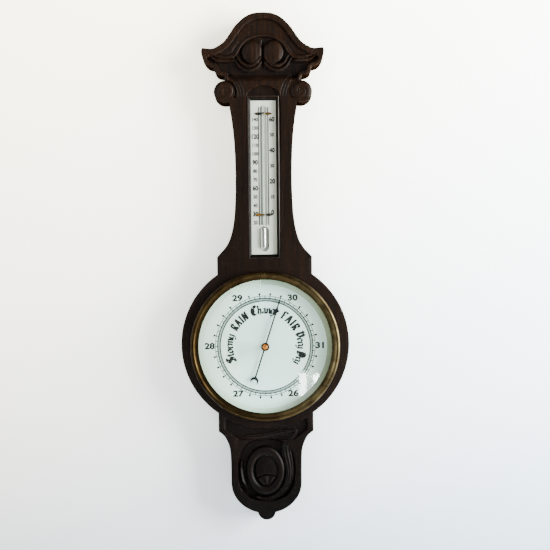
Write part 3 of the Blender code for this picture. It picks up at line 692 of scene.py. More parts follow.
def edge_distance(points, loop):
    """Distance from each point to the nearest edge of a loop."""
    starts = np.array(loop)
    steps = np.roll(starts, -1, axis=0) - starts
    lengths = (steps ** 2).sum(axis=1)
    best = np.full(len(points), 1e9)
    for start, step, length in zip(starts, steps, lengths):
        t = np.clip(((points - start) @ step) / length, 0.0, 1.0)
        away = points - start - t[:, None] * step
        best = np.minimum(best, (away ** 2).sum(axis=1))
    return np.sqrt(best)


def stroke(height, x, z, path, half_width, level, flutes=0, curve=1.0):
    """Carve a raised band along a path; half_width may narrow along it."""
    side, along = follow(x, z, path)
    width = np.interp(along, np.linspace(0.0, 1.0, len(half_width)), half_width)
    q = np.abs(side) / width
    crown = dome(q) ** curve
    ripple = 0.6 * np.cos(side / width * pi * flutes) if flutes else 0.0
    band = level - 4.5 * (1.0 - crown) + ripple * (q < 0.95)
    return np.where(q < 1.0, np.maximum(height, band), height)


def groove(height, x, z, path, half_width, depth):
    """Cut a soft line along a path."""
    side, along = follow(x, z, path)
    ends = ease(along / 0.06) * ease((1.0 - along) / 0.06)
    return height - depth * np.exp(-(side / half_width) ** 2) * (0.35 + 0.65 * ends)


def crest_relief(x, z, edge):
    """The crest: raised border, a hood over a pair of buds, ribbon tips and scrolls."""
    mirror = np.abs(x)
    panel = ease((edge - 9.0) / 1.8) * ease((z - 424.0) / 12.0)
    height = -2.3 * panel - 1.0 * np.exp(-((edge - 10.4) / 1.0) ** 2) * ease((z - 425.0) / 10.0)
    brim = np.interp(
        mirror,
        [0.0, 9.0, 18.0, 26.0, 32.0, 36.5, 40.0, 45.0, 55.0, 66.0, 76.0, 86.0],
        [470.0, 469.2, 466.6, 461.8, 455.0, 447.0, 441.0, 437.0, 436.0, 438.0, 440.0, 438.0],
    )
    under = ease((brim - z) / 1.6) * ease((edge - 5.0) / 2.0) * ease((z - 399.0) / 15.0)
    height = height * (1.0 - under) - 5.8 * under
    height += 1.1 * np.exp(-((z - brim - 2.2) / 1.7) ** 2) * (mirror < 84.0)
    rolls = (
        (
            [(2.0, 431.0), (10.0, 422.5), (22.0, 418.5), (34.0, 423.5), (43.5, 436.0)],
            [2.0, 3.3, 3.8, 3.3, 1.2], -2.4,
        ),
        (
            [(2.5, 438.0), (11.0, 429.0), (22.0, 425.5), (32.0, 430.0), (39.0, 440.0)],
            [2.0, 3.0, 3.3, 2.8, 1.0], -1.3,
        ),
    )
    for path, widths, level in rolls:
        height = stroke(height, mirror, z, smooth_run(path), widths, level, 0, 0.8)
    bud = oval(mirror, z, (16.4, 446.5), (16.2, 18.5))
    crown = -6.2 + 6.0 * dome(bud) ** 0.75 - 0.14 * np.cos(mirror * 0.9) * (z > 430.0)
    height = np.where(bud < 1.0, np.maximum(height, crown), height)
    height -= 1.5 * np.exp(-((bud - 1.02) / 0.04) ** 2) * (z < 449.0)
    height -= 2.6 * np.exp(-(x / 1.1) ** 2) * ease((z - 420.0) / 5.0) * ease((468.0 - z) / 8.0)
    tip = smooth_run([(44.0, 432.5), (52.0, 433.5), (62.0, 434.0), (71.0, 434.5), (79.0, 439.0)])
    height = stroke(height, mirror, z, tip, [1.0, 3.2, 3.8, 3.2, 1.0], -0.9, 2)
    fold = smooth_run([(34.0, 463.0), (41.0, 454.0), (47.0, 445.0), (58.0, 441.5), (70.0, 444.0)])
    height = groove(height, mirror, z, fold, 1.2, 1.2)
    arch = 32.0 - np.hypot(x, z - 363.5)
    height -= 3.2 * ease(arch / 1.4) * ease((25.5 - mirror) / 1.2)
    for shift in (0.0, 4.4, 8.8):
        flow = smooth_run([
            (27.0 + shift, 377.0), (28.5 + shift, 388.0), (33.5 + shift, 400.0),
            (42.0 + shift * 0.7, 409.5), (52.0 + shift * 0.3, 413.5),
        ], 6)
        height = groove(height, mirror, z, flow, 1.15, 1.0)
    return scroll_relief(height, mirror, z)


def scroll_relief(height, mirror, z):
    """The round scrolls: a winding groove into a raised eye."""
    dx = mirror - SCROLL[0]
    dz = z - SCROLL[1]
    reach = np.hypot(dx, dz)
    turn = (np.arctan2(dz, -dx) / (2 * pi)) % 1.0
    for start in (4.2, 12.6):
        line = start + 8.4 * turn
        within = ease((15.2 - line) / 1.2)
        height = height - 0.9 * np.exp(-((reach - line) / 1.1) ** 2) * within
    height = height - 0.045 * np.clip(reach - 9.0, 0.0, 8.0) ** 2 * (reach < 17.5)
    return np.where(reach < 3.4, -1.4 + 1.3 * dome(reach / 3.4), height)


def foot_relief(x, z):
    """The foot: crescent panel, oval field, roll, boss with a fan, and a long leaf."""
    mirror = np.abs(x)
    reach = np.hypot(x, z - HEAD[1])
    low = np.where(mirror > 42.0, -142.0 + (mirror - 42.0) * 0.78, -142.0)
    panel = ease((reach - 128.5) / 1.4) * ease((63.0 - mirror) / 1.4) * ease((z - low) / 1.4)
    power = 2.6
    bulge = ((mirror / 43.8) ** power + (np.abs(z + 187.0) / 47.5) ** power) ** (1.0 / power)
    field = ease((1.0 - bulge) * 43.0 / 1.8)
    height = -np.maximum(3.4 * panel, 7.0 * field)
    height -= 0.8 * np.exp(-((bulge - 0.975) / 0.02) ** 2)
    ring = oval(x, z, (-1.5, -189.5), (23.8, 30.2))
    away = (ring - 1.0) * 26.5
    roll = -6.8 + 5.9 * dome(np.clip(np.abs(away) / 6.6, 0.0, 1.0)) ** 0.8
    height = np.where(np.abs(away) < 6.6, np.maximum(height, roll), height)
    boss = oval(x, z, (0.0, -189.0), (17.5, 23.5))
    height = np.where(boss < 1.0, np.maximum(height, -6.8 + 4.6 * dome(boss) ** 0.7), height)
    height = fan_relief(height, x, z, boss)
    sweep = smooth_run([
        (-49.0, -139.5), (-30.0, -138.5), (-5.0, -136.5), (20.0, -131.5), (43.0, -127.5),
    ])
    height = stroke(height, x, z, sweep, [2.0, 5.0, 6.0, 5.4, 2.2], -0.9, 3)
    blade = smooth_run([
        (45.5, -128.0), (41.0, -137.0), (33.0, -148.0), (31.5, -160.0), (35.0, -178.0),
        (36.0, -195.0), (31.0, -211.0), (18.0, -225.0), (0.0, -231.5), (-17.0, -228.0),
    ])
    height = stroke(height, x, z, blade, [2.0, 4.5, 8.6, 9.6, 8.0, 7.0, 6.2, 5.2, 3.8, 1.5], -1.0, 4, 0.7)
    tuft = smooth_run([(-38.0, -176.0), (-38.5, -190.0), (-36.0, -204.0), (-29.0, -217.0)])
    return stroke(height, x, z, tuft, [1.5, 3.6, 3.8, 1.4], -2.6, 2)


def fan_relief(height, x, z, boss):
    """The small fluted fan on the lower half of the boss."""
    reach = np.hypot(x - 1.0, z + 217.0)
    angle = np.arctan2(z + 217.0, x - 1.0)
    fan = (reach < 21.0) & (boss < 0.98) & (z < -192.0)
    flutes = 0.8 * np.cos(angle * 11.0) * ease(reach / 6.0)
    raised = height + 0.9 + flutes
    height = np.where(fan, raised, height)
    rim = np.exp(-((reach - 22.0) / 0.9) ** 2) * (boss < 0.95) * (z > -212.0)
    return height - 1.7 * rim


def relief(points, loop):
    """Height of the carved front over the flat face, in millimetres, never above it."""
    x, z = points[:, 0], points[:, 1]
    edge = edge_distance(points, loop)
    height = np.zeros(len(points))
    height = np.where(z > CARVED_ABOVE, crest_relief(x, z, edge), height)
    height = np.where(z < CARVED_BELOW, foot_relief(x, z), height)
    height = np.minimum(height, 0.0)
    radius = 1.1
    near = np.clip(radius - edge, 0.0, radius)
    return height - (radius - np.sqrt(radius ** 2 - near ** 2))


def grid(x_range, z_range, step):
    """A staggered grid of points."""
    rows = int((z_range[1] - z_range[0]) / (step * 0.87))
    spots = []
    for row in range(rows + 1):
        z = z_range[0] + row * step * 0.87
        shift = step / 2 * (row % 2)
        spots.append([(x, z) for x in np.arange(x_range[0] + shift, x_range[1], step)])
    return np.array([spot for row in spots for spot in row])


def make_board():
    """The carved oak board as one dense mesh."""
    outline = board_outline()
    well = circle(WELL_RADIUS)
    pocket = rectangle((-POCKET_X, POCKET_X), POCKET_Z)
    spots = board_spots(outline)
    flat, faces, edge_spots = triangulate([outline, well, pocket], spots)
    heights = relief(flat, outline)
    solid = Solid()
    solid.verts = [(x, -(BOARD_FRONT + h), z) for (x, z), h in zip(flat, heights)]
    solid.faces = [tuple(int(i) for i in face) for face in faces]
    first = len(outline)
    second = first + len(well)
    rim = edge_spots[:first]
    mouth = edge_spots[first:second]
    pit = edge_spots[second:]
    inner = [tuple(p) for p in inset(outline, BACK_CHAMFER)]
    side = solid.walls(rim, outline, (24.0, 12.0, BACK_CHAMFER))
    back_loops = [inner, circle(COVER_RADIUS), rectangle(*HANGER_NEST)]
    back = solid.skin(back_loops, 0.0)
    solid.bridge(side, back[0])
    ring = solid.walls(mouth, well, (LEDGE_DEPTH,))
    ring = solid.walls(ring, circle(INNER_WELL_RADIUS), (LEDGE_DEPTH, NEST_DEPTH))
    ring = solid.walls(ring, circle(COVER_RADIUS), (NEST_DEPTH,))
    solid.bridge(ring, back[1])
    floor = solid.walls(pit, pocket, (POCKET_DEPTH,))
    solid.close(floor)
    nest = solid.walls(back[2], back_loops[2], (NEST_DEPTH,))
    nest = solid.walls(nest, rectangle(*NAIL_HOLE), (NEST_DEPTH, NAIL_DEPTH))
    solid.close(nest)
    board = solid.piece("carved_case_board", OAK, "case", 42.0)
    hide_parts("case_board")


def board_spots(outline):
    """Points inside the outline: fine where it is carved, and rows along its edge."""
    zones = (
        grid((-96.0, 96.0), (CARVED_ABOVE, 508.0), CARVED_GRID),
        grid((-74.0, 74.0), (-264.0, CARVED_BELOW), CARVED_GRID),
        grid((-128.0, 128.0), (CARVED_BELOW + 1.0, CARVED_ABOVE - 1.0), PLAIN_GRID),
    )
    rims = [inset(outline, distance) for distance in (0.2, 0.5, 0.9, 1.6)]
    spots = np.concatenate(zones)
    spots = spots[inside(spots, outline)]
    spots = spots[edge_distance(spots, outline) > 2.4]
    spots = np.concatenate([spots, *rims])
    clear = np.hypot(spots[:, 0], spots[:, 1]) > WELL_RADIUS + 0.5
    in_pocket = (np.abs(spots[:, 0]) < POCKET_X + 0.4) & (spots[:, 1] < POCKET_Z[1] + 0.4)
    return spots[clear & ~(in_pocket & (spots[:, 1] > POCKET_Z[0] - 0.4))]


# ---------------------------------------------------------------- head


def make_bezel():
    """The spun brass bezel: outer bead, hollow, and a slope down to the glass."""
    bead = arc((109.2, 39.4), (4.1, 4.0), -40.0, 112.0, 14)
    profile = [
        (103.1, 28.6), (103.9, 28.6), (103.9, 34.3), (112.2, 34.3), *bead, (107.3, 42.7),
        (105.4, 41.9), (103.4, 41.2), (101.4, 40.8), (100.8, 40.75), (100.7, 40.3), (103.1, 40.2),
    ]
    bezel = turned("spun_bezel", profile, BEZEL_BRASS, segments=192, angle=50.0)
    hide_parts("bezel")
    profile = [
        (2.9, 38.1), (102.8, 38.1), (102.8, 39.6), (BEVEL_START, 41.35), (92.6, 41.5), (2.9, 41.5),
    ]
    glass = turned("bevelled_glass", profile, GLASS, segments=192, angle=1.0)
    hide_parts("cover_glass")


# Broad-nib letters, in hundredths of a capital's height; each is its width and its strokes.
NIB_LETTERS = {
    "S": (60, [[(50, 80), (42, 97), (22, 100), (9, 82), (18, 62), (40, 48), (50, 28), (40, 5), (20, 0),
                (4, 14)], [(30, 86), (30, 14)]]),
    "C": (62, [[(54, 78), (46, 96), (26, 100), (10, 80), (5, 50), (10, 20), (26, 2), (44, 2), (56, 20)],
               [(27, 84), (25, 22)]]),
    "V": (66, [[(0, 86), (12, 100), (22, 84), (18, 30), (32, 0), (50, 22), (55, 66), (42, 98),
                (33, 80)]]),
    "D": (70, [[(0, 86), (22, 100), (46, 92), (60, 62), (57, 26), (36, 0), (8, 6)], [(20, 90), (20, 14)],
               [(36, 84), (36, 18)]]),
    "t": (32, [[(12, 84), (12, 12), (24, 0)], [(0, 60), (26, 60)]]),
    "o": (42, [[(19, 64), (6, 50), (6, 14), (20, 0), (33, 14), (33, 50), (19, 64)]]),
    "r": (34, [[(2, 58), (9, 50), (9, 10), (18, 0)], [(12, 52), (24, 64), (32, 54)]]),
    "m": (64, [[(2, 60), (9, 50), (9, 0)], [(11, 52), (22, 64), (31, 52), (31, 0)], [(33, 52), (44, 64),
                (53, 52), (53, 10), (60, 0)]]),
    "n": (42, [[(2, 60), (9, 50), (9, 0)], [(11, 52), (22, 64), (31, 52), (31, 10), (38, 0)]]),
    "h": (42, [[(2, 100), (9, 92), (9, 0)], [(11, 52), (22, 64), (31, 52), (31, 8), (24, -10)]]),
    "a": (44, [[(6, 56), (20, 64), (31, 54), (31, 10), (40, 0)], [(30, 38), (14, 34), (7, 20), (12, 2),
                (30, 12)]]),
    "g": (42, [[(31, 56), (18, 64), (6, 50), (6, 14), (18, 2), (31, 14)], [(33, 62), (33, -8), (20, -26),
                (4, -18)]]),
    "e": (38, [[(8, 30), (31, 42), (28, 56), (17, 64), (6, 50), (6, 14), (18, 0), (33, 12)]]),
    "y": (42, [[(6, 62), (6, 14), (18, 2), (31, 14)], [(33, 64), (33, -6), (20, -26), (4, -18)]]),
    "R": (66, [[(17, 0), (17, 100)], [(17, 97), (40, 96), (47, 76), (38, 54), (17, 50)], [(30, 50),
                (48, 4)], [(8, 2), (26, 2)], [(40, 2), (54, 2)]]),
    "A": (64, [[(30, 100), (50, 0)], [(27, 96), (12, 4)], [(16, 32), (40, 32)], [(6, 2), (18, 2)],
               [(40, 2), (56, 2)]]),
    "I": (38, [[(19, 0), (19, 100)], [(11, 2), (27, 2)], [(11, 98), (27, 98)]]),
    "N": (68, [[(14, 0), (14, 98)], [(14, 98), (50, 4)], [(52, 0), (52, 98)], [(6, 2), (22, 2)],
               [(44, 98), (60, 98)]]),
    "F": (60, [[(17, 0), (17, 100)], [(12, 96), (48, 96)], [(48, 96), (48, 78)], [(17, 52), (38, 52)],
               [(8, 2), (26, 2)]]),
    " ": (20, []),
}
BOLD_CAPITALS = "SCVD"


class Marks:
    """Flat printed marks, gathered into one mesh just proud of a surface."""

    def __init__(self, depth):
        self.solid = Solid()
        self.depth = depth

    def shape(self, outline):
        """A closed outline as a thin plate."""
        back = self.solid.loop(outline, self.depth)
        front = self.solid.loop(outline, self.depth + INK_THICKNESS)
        self.solid.bridge(back, front)
        self.solid.close(front)
        self.solid.close(back[::-1])

    def tick(self, angle, low, high, width):
        """A radial line on the dial, clockwise from the top."""
        self.shape(turn_clockwise(rectangle((-width / 2, width / 2), (low, high)), angle))

    def ring(self, radius, width):
        """A thin printed circle."""
        inner, outer = radius - width / 2, radius + width / 2
        loops = []
        for r, rise in ((inner, 0.0), (inner, INK_THICKNESS), (outer, INK_THICKNESS), (outer, 0.0)):
            loops.append(self.solid.loop(circle(r, 180), self.depth + rise))
        self.solid.sleeve(loops)

    def text(self, words, size, centre, weight, stretch):
        """A word in the built-in font, centred on a point, thickened and stretched sideways."""
        curve = bpy.data.curves.new("lettering", "FONT")
        curve.body = words
        curve.size = size
        curve.offset = weight
        curve.align_x = "CENTER"
        curve.align_y = "CENTER"
        curve.resolution_u = 3
        curve.extrude = INK_THICKNESS / 2
        item = bpy.data.objects.new("lettering", curve)
        bpy.context.scene.collection.objects.link(item)
        bpy.context.view_layer.update()
        mesh = bpy.data.meshes.new_from_object(item)
        bpy.data.objects.remove(item)
        start = len(self.solid.verts)
        middle = self.depth + INK_THICKNESS / 2
        for x, z, proud in (vertex.co for vertex in mesh.vertices):
            self.solid.verts.append((centre[0] + x * stretch, -(middle + proud), centre[1] + z))
        for polygon in mesh.polygons:
            self.solid.faces.append(tuple(i + start for i in polygon.vertices))
        bpy.data.meshes.remove(mesh)

    def nib_word(self, words, height, radius, angle, nib, spread):
        """A broad-nib word round the dial; its baseline is the given radius."""
        wide = height / 100 * spread
        widths = [NIB_LETTERS[letter][0] * wide for letter in words]
        x = -sum(widths) / 2
        for letter, width in zip(words, widths):
            turn = angle + degrees((x + width / 2) / (radius + height * 0.4))
            bold, taller = (1.4, 1.08) if letter in BOLD_CAPITALS else (1.0, 1.0)
            tall = height / 100 * taller
            for path in NIB_LETTERS[letter][1]:
                points = [(px * wide - width / 2, radius + pz * tall) for px, pz in path]
                self.nib_stroke(points, (nib[0] * height * bold, nib[1] * height * bold), turn)
            x += width

    def nib_stroke(self, points, nib, turn):
        """One pen stroke: each span is swept by a slanted nib, a hair over the span before."""
        level = self.depth
        for (ax, az), (bx, bz) in zip(points, points[1:]):
            corners = [
                (ax - nib[0], az - nib[1]), (ax + nib[0], az + nib[1]),
                (bx + nib[0], bz + nib[1]), (bx - nib[0], bz - nib[1]),
            ]
            self.shape(turn_clockwise(corners, turn))
            self.depth += INK_THICKNESS * 0.04
        self.depth = level

    def finish(self, name, material):
        mark = self.solid.piece(name, material, "case", 20.0)


def make_dial_marks():
    """The dial's printing: circles, graduations, inch numbers and weather words."""
    marks = Marks(DIAL_FACE + INK_GAP)
    for radius, width in ((68.4, 1.5), (72.4, 1.5), (75.8, 0.9)):
        marks.ring(radius, width)
    for step in range(288):
        marks.tick(DIAL_START + step * 1.2, 68.8, 72.0, 0.9)
    for step in range(58):
        marks.tick(DIAL_START + step * 6.0, 72.4, 75.7, 1.1)
    gem = [(0.0, 75.9), (1.6, 78.2), (1.1, 80.4), (-1.1, 80.4), (-1.6, 78.2)]
    for step in range(29):
        if step % 5 != 1:
            marks.shape(turn_clockwise(gem, DIAL_START + step * 12.0))
    for inches in range(26, 32):
        angle = (inches - TOP_INCHES) * DEGREES_PER_INCH
        centre = turn_clockwise([(0.0, 83.8 if inches != 28 else 84.6)], angle)[0]
        marks.text(str(inches), 12.4, centre, 0.56, 1.24)
        if inches not in (28, 31):
            marks.tick(angle, 72.5, 77.5, 0.8)
    marks.nib_word("RAIN", 12.6, 48.4, -46.0, (0.122, 0.072), 1.05)
    marks.nib_word("FAIR", 12.6, 48.4, 46.0, (0.130, 0.078), 1.16)
    marks.nib_word("Stormy", 12.6, 49.3, -93.5, (0.106, 0.076), 1.28)
    marks.nib_word("Change", 12.6, 49.3, 0.0, (0.106, 0.076), 1.26)
    marks.nib_word("Very Dry", 12.4, 49.3, 94.0, (0.106, 0.076), 1.18)
    marks.finish("dial_printing", INK)


def hand_loop():
    """Half of the steel hand's outline, from tip to tail."""
    needle = [
        (0.3, 80.0), (1.05, 68.0), (0.9, 62.0), (1.7, 59.4), (2.6, 57.0), (1.9, 53.8), (1.1, 51.0),
        (1.1, 48.0),
    ]
    stem = [(1.15, 12.0), (1.25, 6.5)]
    hub = arc((0.0, 0.0), 4.2, 72.0, -72.0, 12)
    tail = [(1.25, -7.0), (1.1, -20.0), (1.1, -47.5), (1.35, -49.2)]
    outer = arc((0.0, -55.7), 6.2, 80.0, -49.0, 16)
    inner = arc((0.0, -58.2), 4.6, -28.0, 88.0, 12)
    return needle + stem + hub + tail + outer + inner


def make_plate_piece(name, half, back, front, bevel, material, body):
    """A thin flat hand with bevelled front edges, at the rest angle of the dial."""
    loop = half + [(-x, z) for x, z in reversed(half)]
    loop = turn_clockwise(loop, HAND_REST)
    solid = Solid()
    rings = solid.skin([loop], back)
    rings.append(solid.loop(loop, front - bevel))
    rings += solid.skin([[tuple(p) for p in inset(loop, bevel)]], front)
    solid.bridge(rings[0], rings[1])
    solid.bridge(rings[1], rings[2])
    return solid.piece(name, material, body, 30.0)


def make_hands():
    """The blued hand on its arbor, and the set hand behind the glass."""
    back, front = -HAND_BOX[1][1], -HAND_BOX[0][1]
    hand = make_plate_piece("blued_hand", hand_loop(), back, front, 0.12, HAND_STEEL, "hand")
    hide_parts("indicating_hand")
    boss = [(0.0, front), (3.1, front), (2.9, front + 0.9), (1.6, front + 1.3), (0.0, front + 1.4)]
    cap = turned("hand_boss", boss, HAND_STEEL, "hand", 48)
    back, front = -SET_HAND_BOX[1][1], -SET_HAND_BOX[0][1]
    hub = arc((0, 0), 3.4, 78.0, -78.0, 10)
    half = [(0.12, 50.0), (0.5, 44.0), (0.5, 5.0), *hub, (0.6, -8.0), (0.9, -14.0)]
    pointer = make_plate_piece("bronze_set_hand", half, back, front, 0.1, SET_BRONZE, "set_hand")
    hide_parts("set_hand")


def mill_knob(step, radius):
    """The rim's radius, cut back on two of the four steps of each ridge."""
    return radius - (0.28 if step % 4 < 2 and radius > 5.9 else 0.0)


def make_knob():
    """The turned knob of the set hand, milled round its edge, worn coppery in the middle."""
    back, front = -KNOB_BOX[1][1], -KNOB_BOX[0][1]
    profile = [
        (1.6, back), (4.0, back), (4.2, back + 0.9), (6.0, back + 1.5), (6.4, back + 2.1),
        (6.4, back + 5.2), (6.0, back + 6.0), (5.2, back + 6.5), (4.6, back + 6.55),
        (4.2, back + 6.2), (3.6, back + 6.3), (2.4, back + 7.0), (1.0, front), (0.0, front),
        (0.0, back + 4.6), (1.6, back + 4.6),
    ]
    segments = KNOB_RIDGES * 4
    knob = turned("milled_knob", profile, KNOB_BRASS, "set_hand", segments, angle=40.0, mill=mill_knob)
    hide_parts("set_hand_knob")


# ---------------------------------------------------------------- thermometer


def make_scale():
    """The opal scale: a plate with a round-ended groove for the tube and a bulb recess."""
    low, high = SCALE_BOX
    back, front = -high[1], -low[1]
    outline = rectangle((low[0], high[0]), (low[2], high[2]))
    half = 5.2
    top = 365.5 - half
    trough = [(half, 184.0), *arc((0.0, top), half, 0.0, 180.0, 24), (-half, 184.0)]
    recess = arc((0.0, 174.5), 7.0, 0.0, 180.0, 20) + arc((0.0, 150.5), 7.0, 180.0, 360.0, 20)
    solid = Solid()
    face = solid.skin([outline, trough, recess], front)
    ring = face[1]
    for share, drop in ((0.92, 0.5), (0.75, 1.1), (0.45, 1.7), (0.12, 2.0)):
        narrowed = [(x * share, top + (z - top) * share if z > top else z) for x, z in trough]
        ring = solid.walls(ring, narrowed, (front - drop,))
    solid.close(ring)
    side = solid.walls(face[0], outline, (back,))
    solid.close(side[::-1])
    floor = solid.walls(face[2], recess, (back + 0.6,))
    solid.close(floor)
    plate = solid.piece("grooved_scale", OPAL, "case", 30.0)
    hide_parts("thermometer_scale")


def print_scale(marks, side, line, foot, pitch, steps, readings, each, bold):
    """One thermometer scale, left (-1) or right (1): its ticks, and a reading every few ticks."""
    for step in range(steps):
        z = foot + step * pitch
        reach = 2.2 if step % 5 == 0 else 1.2
        near, far = sorted((side * line, side * (line + reach)))
        if z < SCALE_HEAD:
            marks.shape(rectangle((near, far), (z - 0.2, z + 0.2)))
    for count, reading in enumerate(readings):
        size, weight = (9.6, 0.50) if reading % bold == 0 else (7.4, 0.34)
        marks.text(str(reading), size, (side * 12.9, foot + count * each * pitch), weight, 0.85)


def make_scale_marks():
    """The thermometer's two printed scales and their numbers: Fahrenheit left, Celsius right."""
    marks = Marks(-SCALE_BOX[0][1] + INK_GAP)
    for x, half in ((-7.1, 0.8), (7.0, 0.75)):
        marks.shape(rectangle((x - half, x + half), (SCALE_FOOT, SCALE_HEAD)))
    print_scale(marks, -1, 6.8, 187.0, 2.616, 71, range(20, 141, 10), 5, 30)
    print_scale(marks, 1, 7.2, 202.7, 2.355, 61, range(0, 61, 10), 10, 20)
    marks.finish("thermometer_printing", INK)


def make_tube():
    """The glass tube with its fine mercury thread, and the silver bulb below it."""
    axis_depth = -(TUBE_BOX[0][1] + TUBE_BOX[1][1]) / 2
    low, high = TUBE_BOX[0][2], TUBE_BOX[1][2]
    radius = (TUBE_BOX[1][0] - TUBE_BOX[0][0]) / 2
    crown = arc((0.0, high - radius), radius, 0.0, 90.0, 12)
    axis = (0, axis_depth, 0)
    tube = turned("glass_stem", [(0.0, low), (radius, low), *crown], TUBE_GLASS, "case", 48, axis, True)
    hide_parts("thermometer_tube")
    thread = turned(
        "mercury_thread", [(0.0, low + 0.1), (0.45, low + 0.1), (0.45, 243.0), (0.0, 243.4)],
        THREAD, "case", 16, (0, axis_depth + 0.6, 0), True)
    low, high = BULB_BOX[0][2], BULB_BOX[1][2]
    radius = (BULB_BOX[1][0] - BULB_BOX[0][0]) / 2
    foot = arc((0.0, low + radius), radius, -90.0, 0.0, 14)
    head = arc((0.0, high - radius), radius, 0.0, 90.0, 14)
    bulb = turned("silver_bulb", foot + head, BULB_MERCURY, "case", 56, axis, True)
    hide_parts("mercury_bulb")


def make_strap(number, tilt):
    """A brass strap over the tube with a pointed leaf on each side, one half in a dark copy of the brass as
    painted shade.
    """
    low, high = [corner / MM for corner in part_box(f"tube_clip_{number}")]
    z = (low[2] + high[2]) / 2
    foot = -high[1]
    axis_depth = -(TUBE_BOX[0][1] + TUBE_BOX[1][1]) / 2
    radius = -low[1] - axis_depth
    solid = Solid()
    rows = []
    stations = []
    for i in range(13):
        x = -13.0 + i * 10.2 / 12
        leaf = 2.2 * sin(pi * min(1.0, (i + 0.5) / 13.5)) ** 0.8
        stations.append((x, foot + 0.25, leaf, tilt * sin(pi * i / 12)))
    for i in range(13):
        angle = pi - pi * i / 12
        stations.append((radius * cos(angle), axis_depth + (radius - 0.4) * sin(angle), 1.1, 0.0))
    left = stations[:13]
    stations += [(-x, d, w, -t) for x, d, w, t in reversed(left)]
    for x, depth, half, lean in stations:
        start = len(solid.verts)
        for side, thick in ((-1, 0.0), (-1, 0.4), (0, 0.62), (1, 0.4), (1, 0.0)):
            lift = max(0.0, side * lean) * half * 0.2
            solid.verts.append((x, -(depth + thick + lift), z + side * half))
        rows.append(range(start, len(solid.verts)))
    solid.close(rows[0])
    solid.close(rows[-1][::-1])
    for near, far in zip(rows, rows[1:]):
        solid.bridge(near, far)
    strap = solid.piece(f"leaf_strap_{number}", CLIP_BRASS, "case", 50.0)
    # Painted shade: one half of the strap takes a dark copy of the brass.
    strap.data.materials.append(CLIP_SHADED_HALF)
    for polygon in strap.data.polygons:
        polygon.material_index = int(polygon.center.x * tilt < 0.0)
    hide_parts(f"tube_clip_{number}")


def make_frame():
    """The moulded dark frame round the thermometer scale, its outward bevels in a lighter, glossier copy of
    the oak as a painted highlight.
    """
    low, high = FRAME_BOX
    half_x = (high[0] - low[0]) / 2
    half_z = (high[2] - low[2]) / 2
    middle = (high[2] + low[2]) / 2
    foot = -high[1]
    front = -low[1]
    section = [
        (0.0, foot), (0.0, front - 0.75), (1.1, front), (1.6, front), (1.9, front - 0.25),
        (2.2, front - 0.9), (2.8, front - 1.6), (3.8, front - 2.4), (5.0, front - 3.1), (5.8, front - 3.5),
        (6.2, front - 4.0), (6.2, foot),
    ]
    solid = Solid()
    rings = []
    for step, depth in section:
        across = half_x - step + max(0.0, step - 1.9) * 0.3
        up = half_z - step
        rings.append(solid.loop(rectangle((-across, across), (middle - up, middle + up)), depth))
    solid.sleeve(rings)
    moulding = solid.piece("moulded_frame", EBONISED, "case", 28.0)
    # Painted highlight: the outward bevels take a lighter copy of the oak.
    moulding.data.materials.append(ARRIS_HIGHLIGHT)
    for polygon in moulding.data.polygons:
        outward = polygon.center.x * polygon.normal.x + (polygon.center.z - middle * MM) * polygon.normal.z
        polygon.material_index = int(outward > 0.0 and -0.95 < polygon.normal.y < -0.5)
    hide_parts("thermometer_frame")


# ---------------------------------------------------------------- carried-over nodes


def finish_nodes():
    """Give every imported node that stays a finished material."""
    by_slot = {
        "cover_brass": COVER_BRASS, "bezel_brass": BEZEL_BRASS, "movement_brass": COVER_BRASS,
        "capsule_metal": NICKEL, "bracket_iron": IRON, "movement_steel": STEEL, "screw_steel": STEEL,
        "blued_steel": HAND_STEEL, "hand_steel": HAND_STEEL, "set_hand_bronze": SET_BRONZE,
        "knob_brass": KNOB_BRASS, "clip_brass": CLIP_BRASS, "dial_enamel": DIAL, "oak": OAK,
        "ebonised_oak": EBONISED, "bevelled_glass": GLASS, "tube_glass": TUBE_GLASS,
        "mercury": MERCURY, "scale_opal": OPAL,
    }
    for part in frame["record"]["subparts"]:
        node = frame["nodes"][part["node"]]
        for place in node.material_slots:
            place.material = by_slot[part["material_slot"]]


# ---------------------------------------------------------------- stage


def wall_material():
    """Pale plaster, seen through from behind so that the back of the case shows; its colour and glow paint
    light and shade on it, darker low down, warmer high up and with a painted shadow band behind the left of
    the case.
    """
    shader = Shader("wall_plaster", Metallic=0.0, Roughness=0.9)
    cloud = shader.noise(1.6, 2.0)
    rise = shader.between(shader.part("Z"), *WALL_SPAN)
    across = shader.across(0.42)
    paint_and_shade = shader.ramp(cloud, [(0.3, (0.96, 0.96, 0.96)), (0.7, WHITE)])
    # Painted shade: the plaster darkens low down and warms or cools from left to right.
    paint_and_shade = shader.multiply(paint_and_shade, shader.ramp(rise, WALL_SHADE_RISE))
    shader.set("Base Color", shader.multiply(paint_and_shade, shader.ramp(across, WALL_LIGHT_TINT)))
    # Painted light and a painted shadow in the wall's glow.
    glow = shader.multiply(shader.ramp(rise, WALL_GLOW_RISE), shader.ramp(across, WALL_GLOW_AND_SHADOW_ACROSS))
    shader.set("Emission Color", glow)
    shader.base.inputs["Emission Strength"].default_value = WALL_GLOW
    clear = shader.node("ShaderNodeBsdfTransparent").outputs["BSDF"]
    behind = shader.node("ShaderNodeNewGeometry").outputs["Backfacing"]
    shader.surface(behind, shader.base.outputs["BSDF"], clear)
    return shader.material


def stage_plane(name, corners, material):
    """A flat piece of the studio."""
    mesh = bpy.data.meshes.new(name)
    mesh.from_pydata(corners, [], [(0, 1, 2, 3)])
    mesh.materials.append(material)
    item = bpy.data.objects.new(name, mesh)
    bpy.context.scene.collection.objects.link(item)
    return item


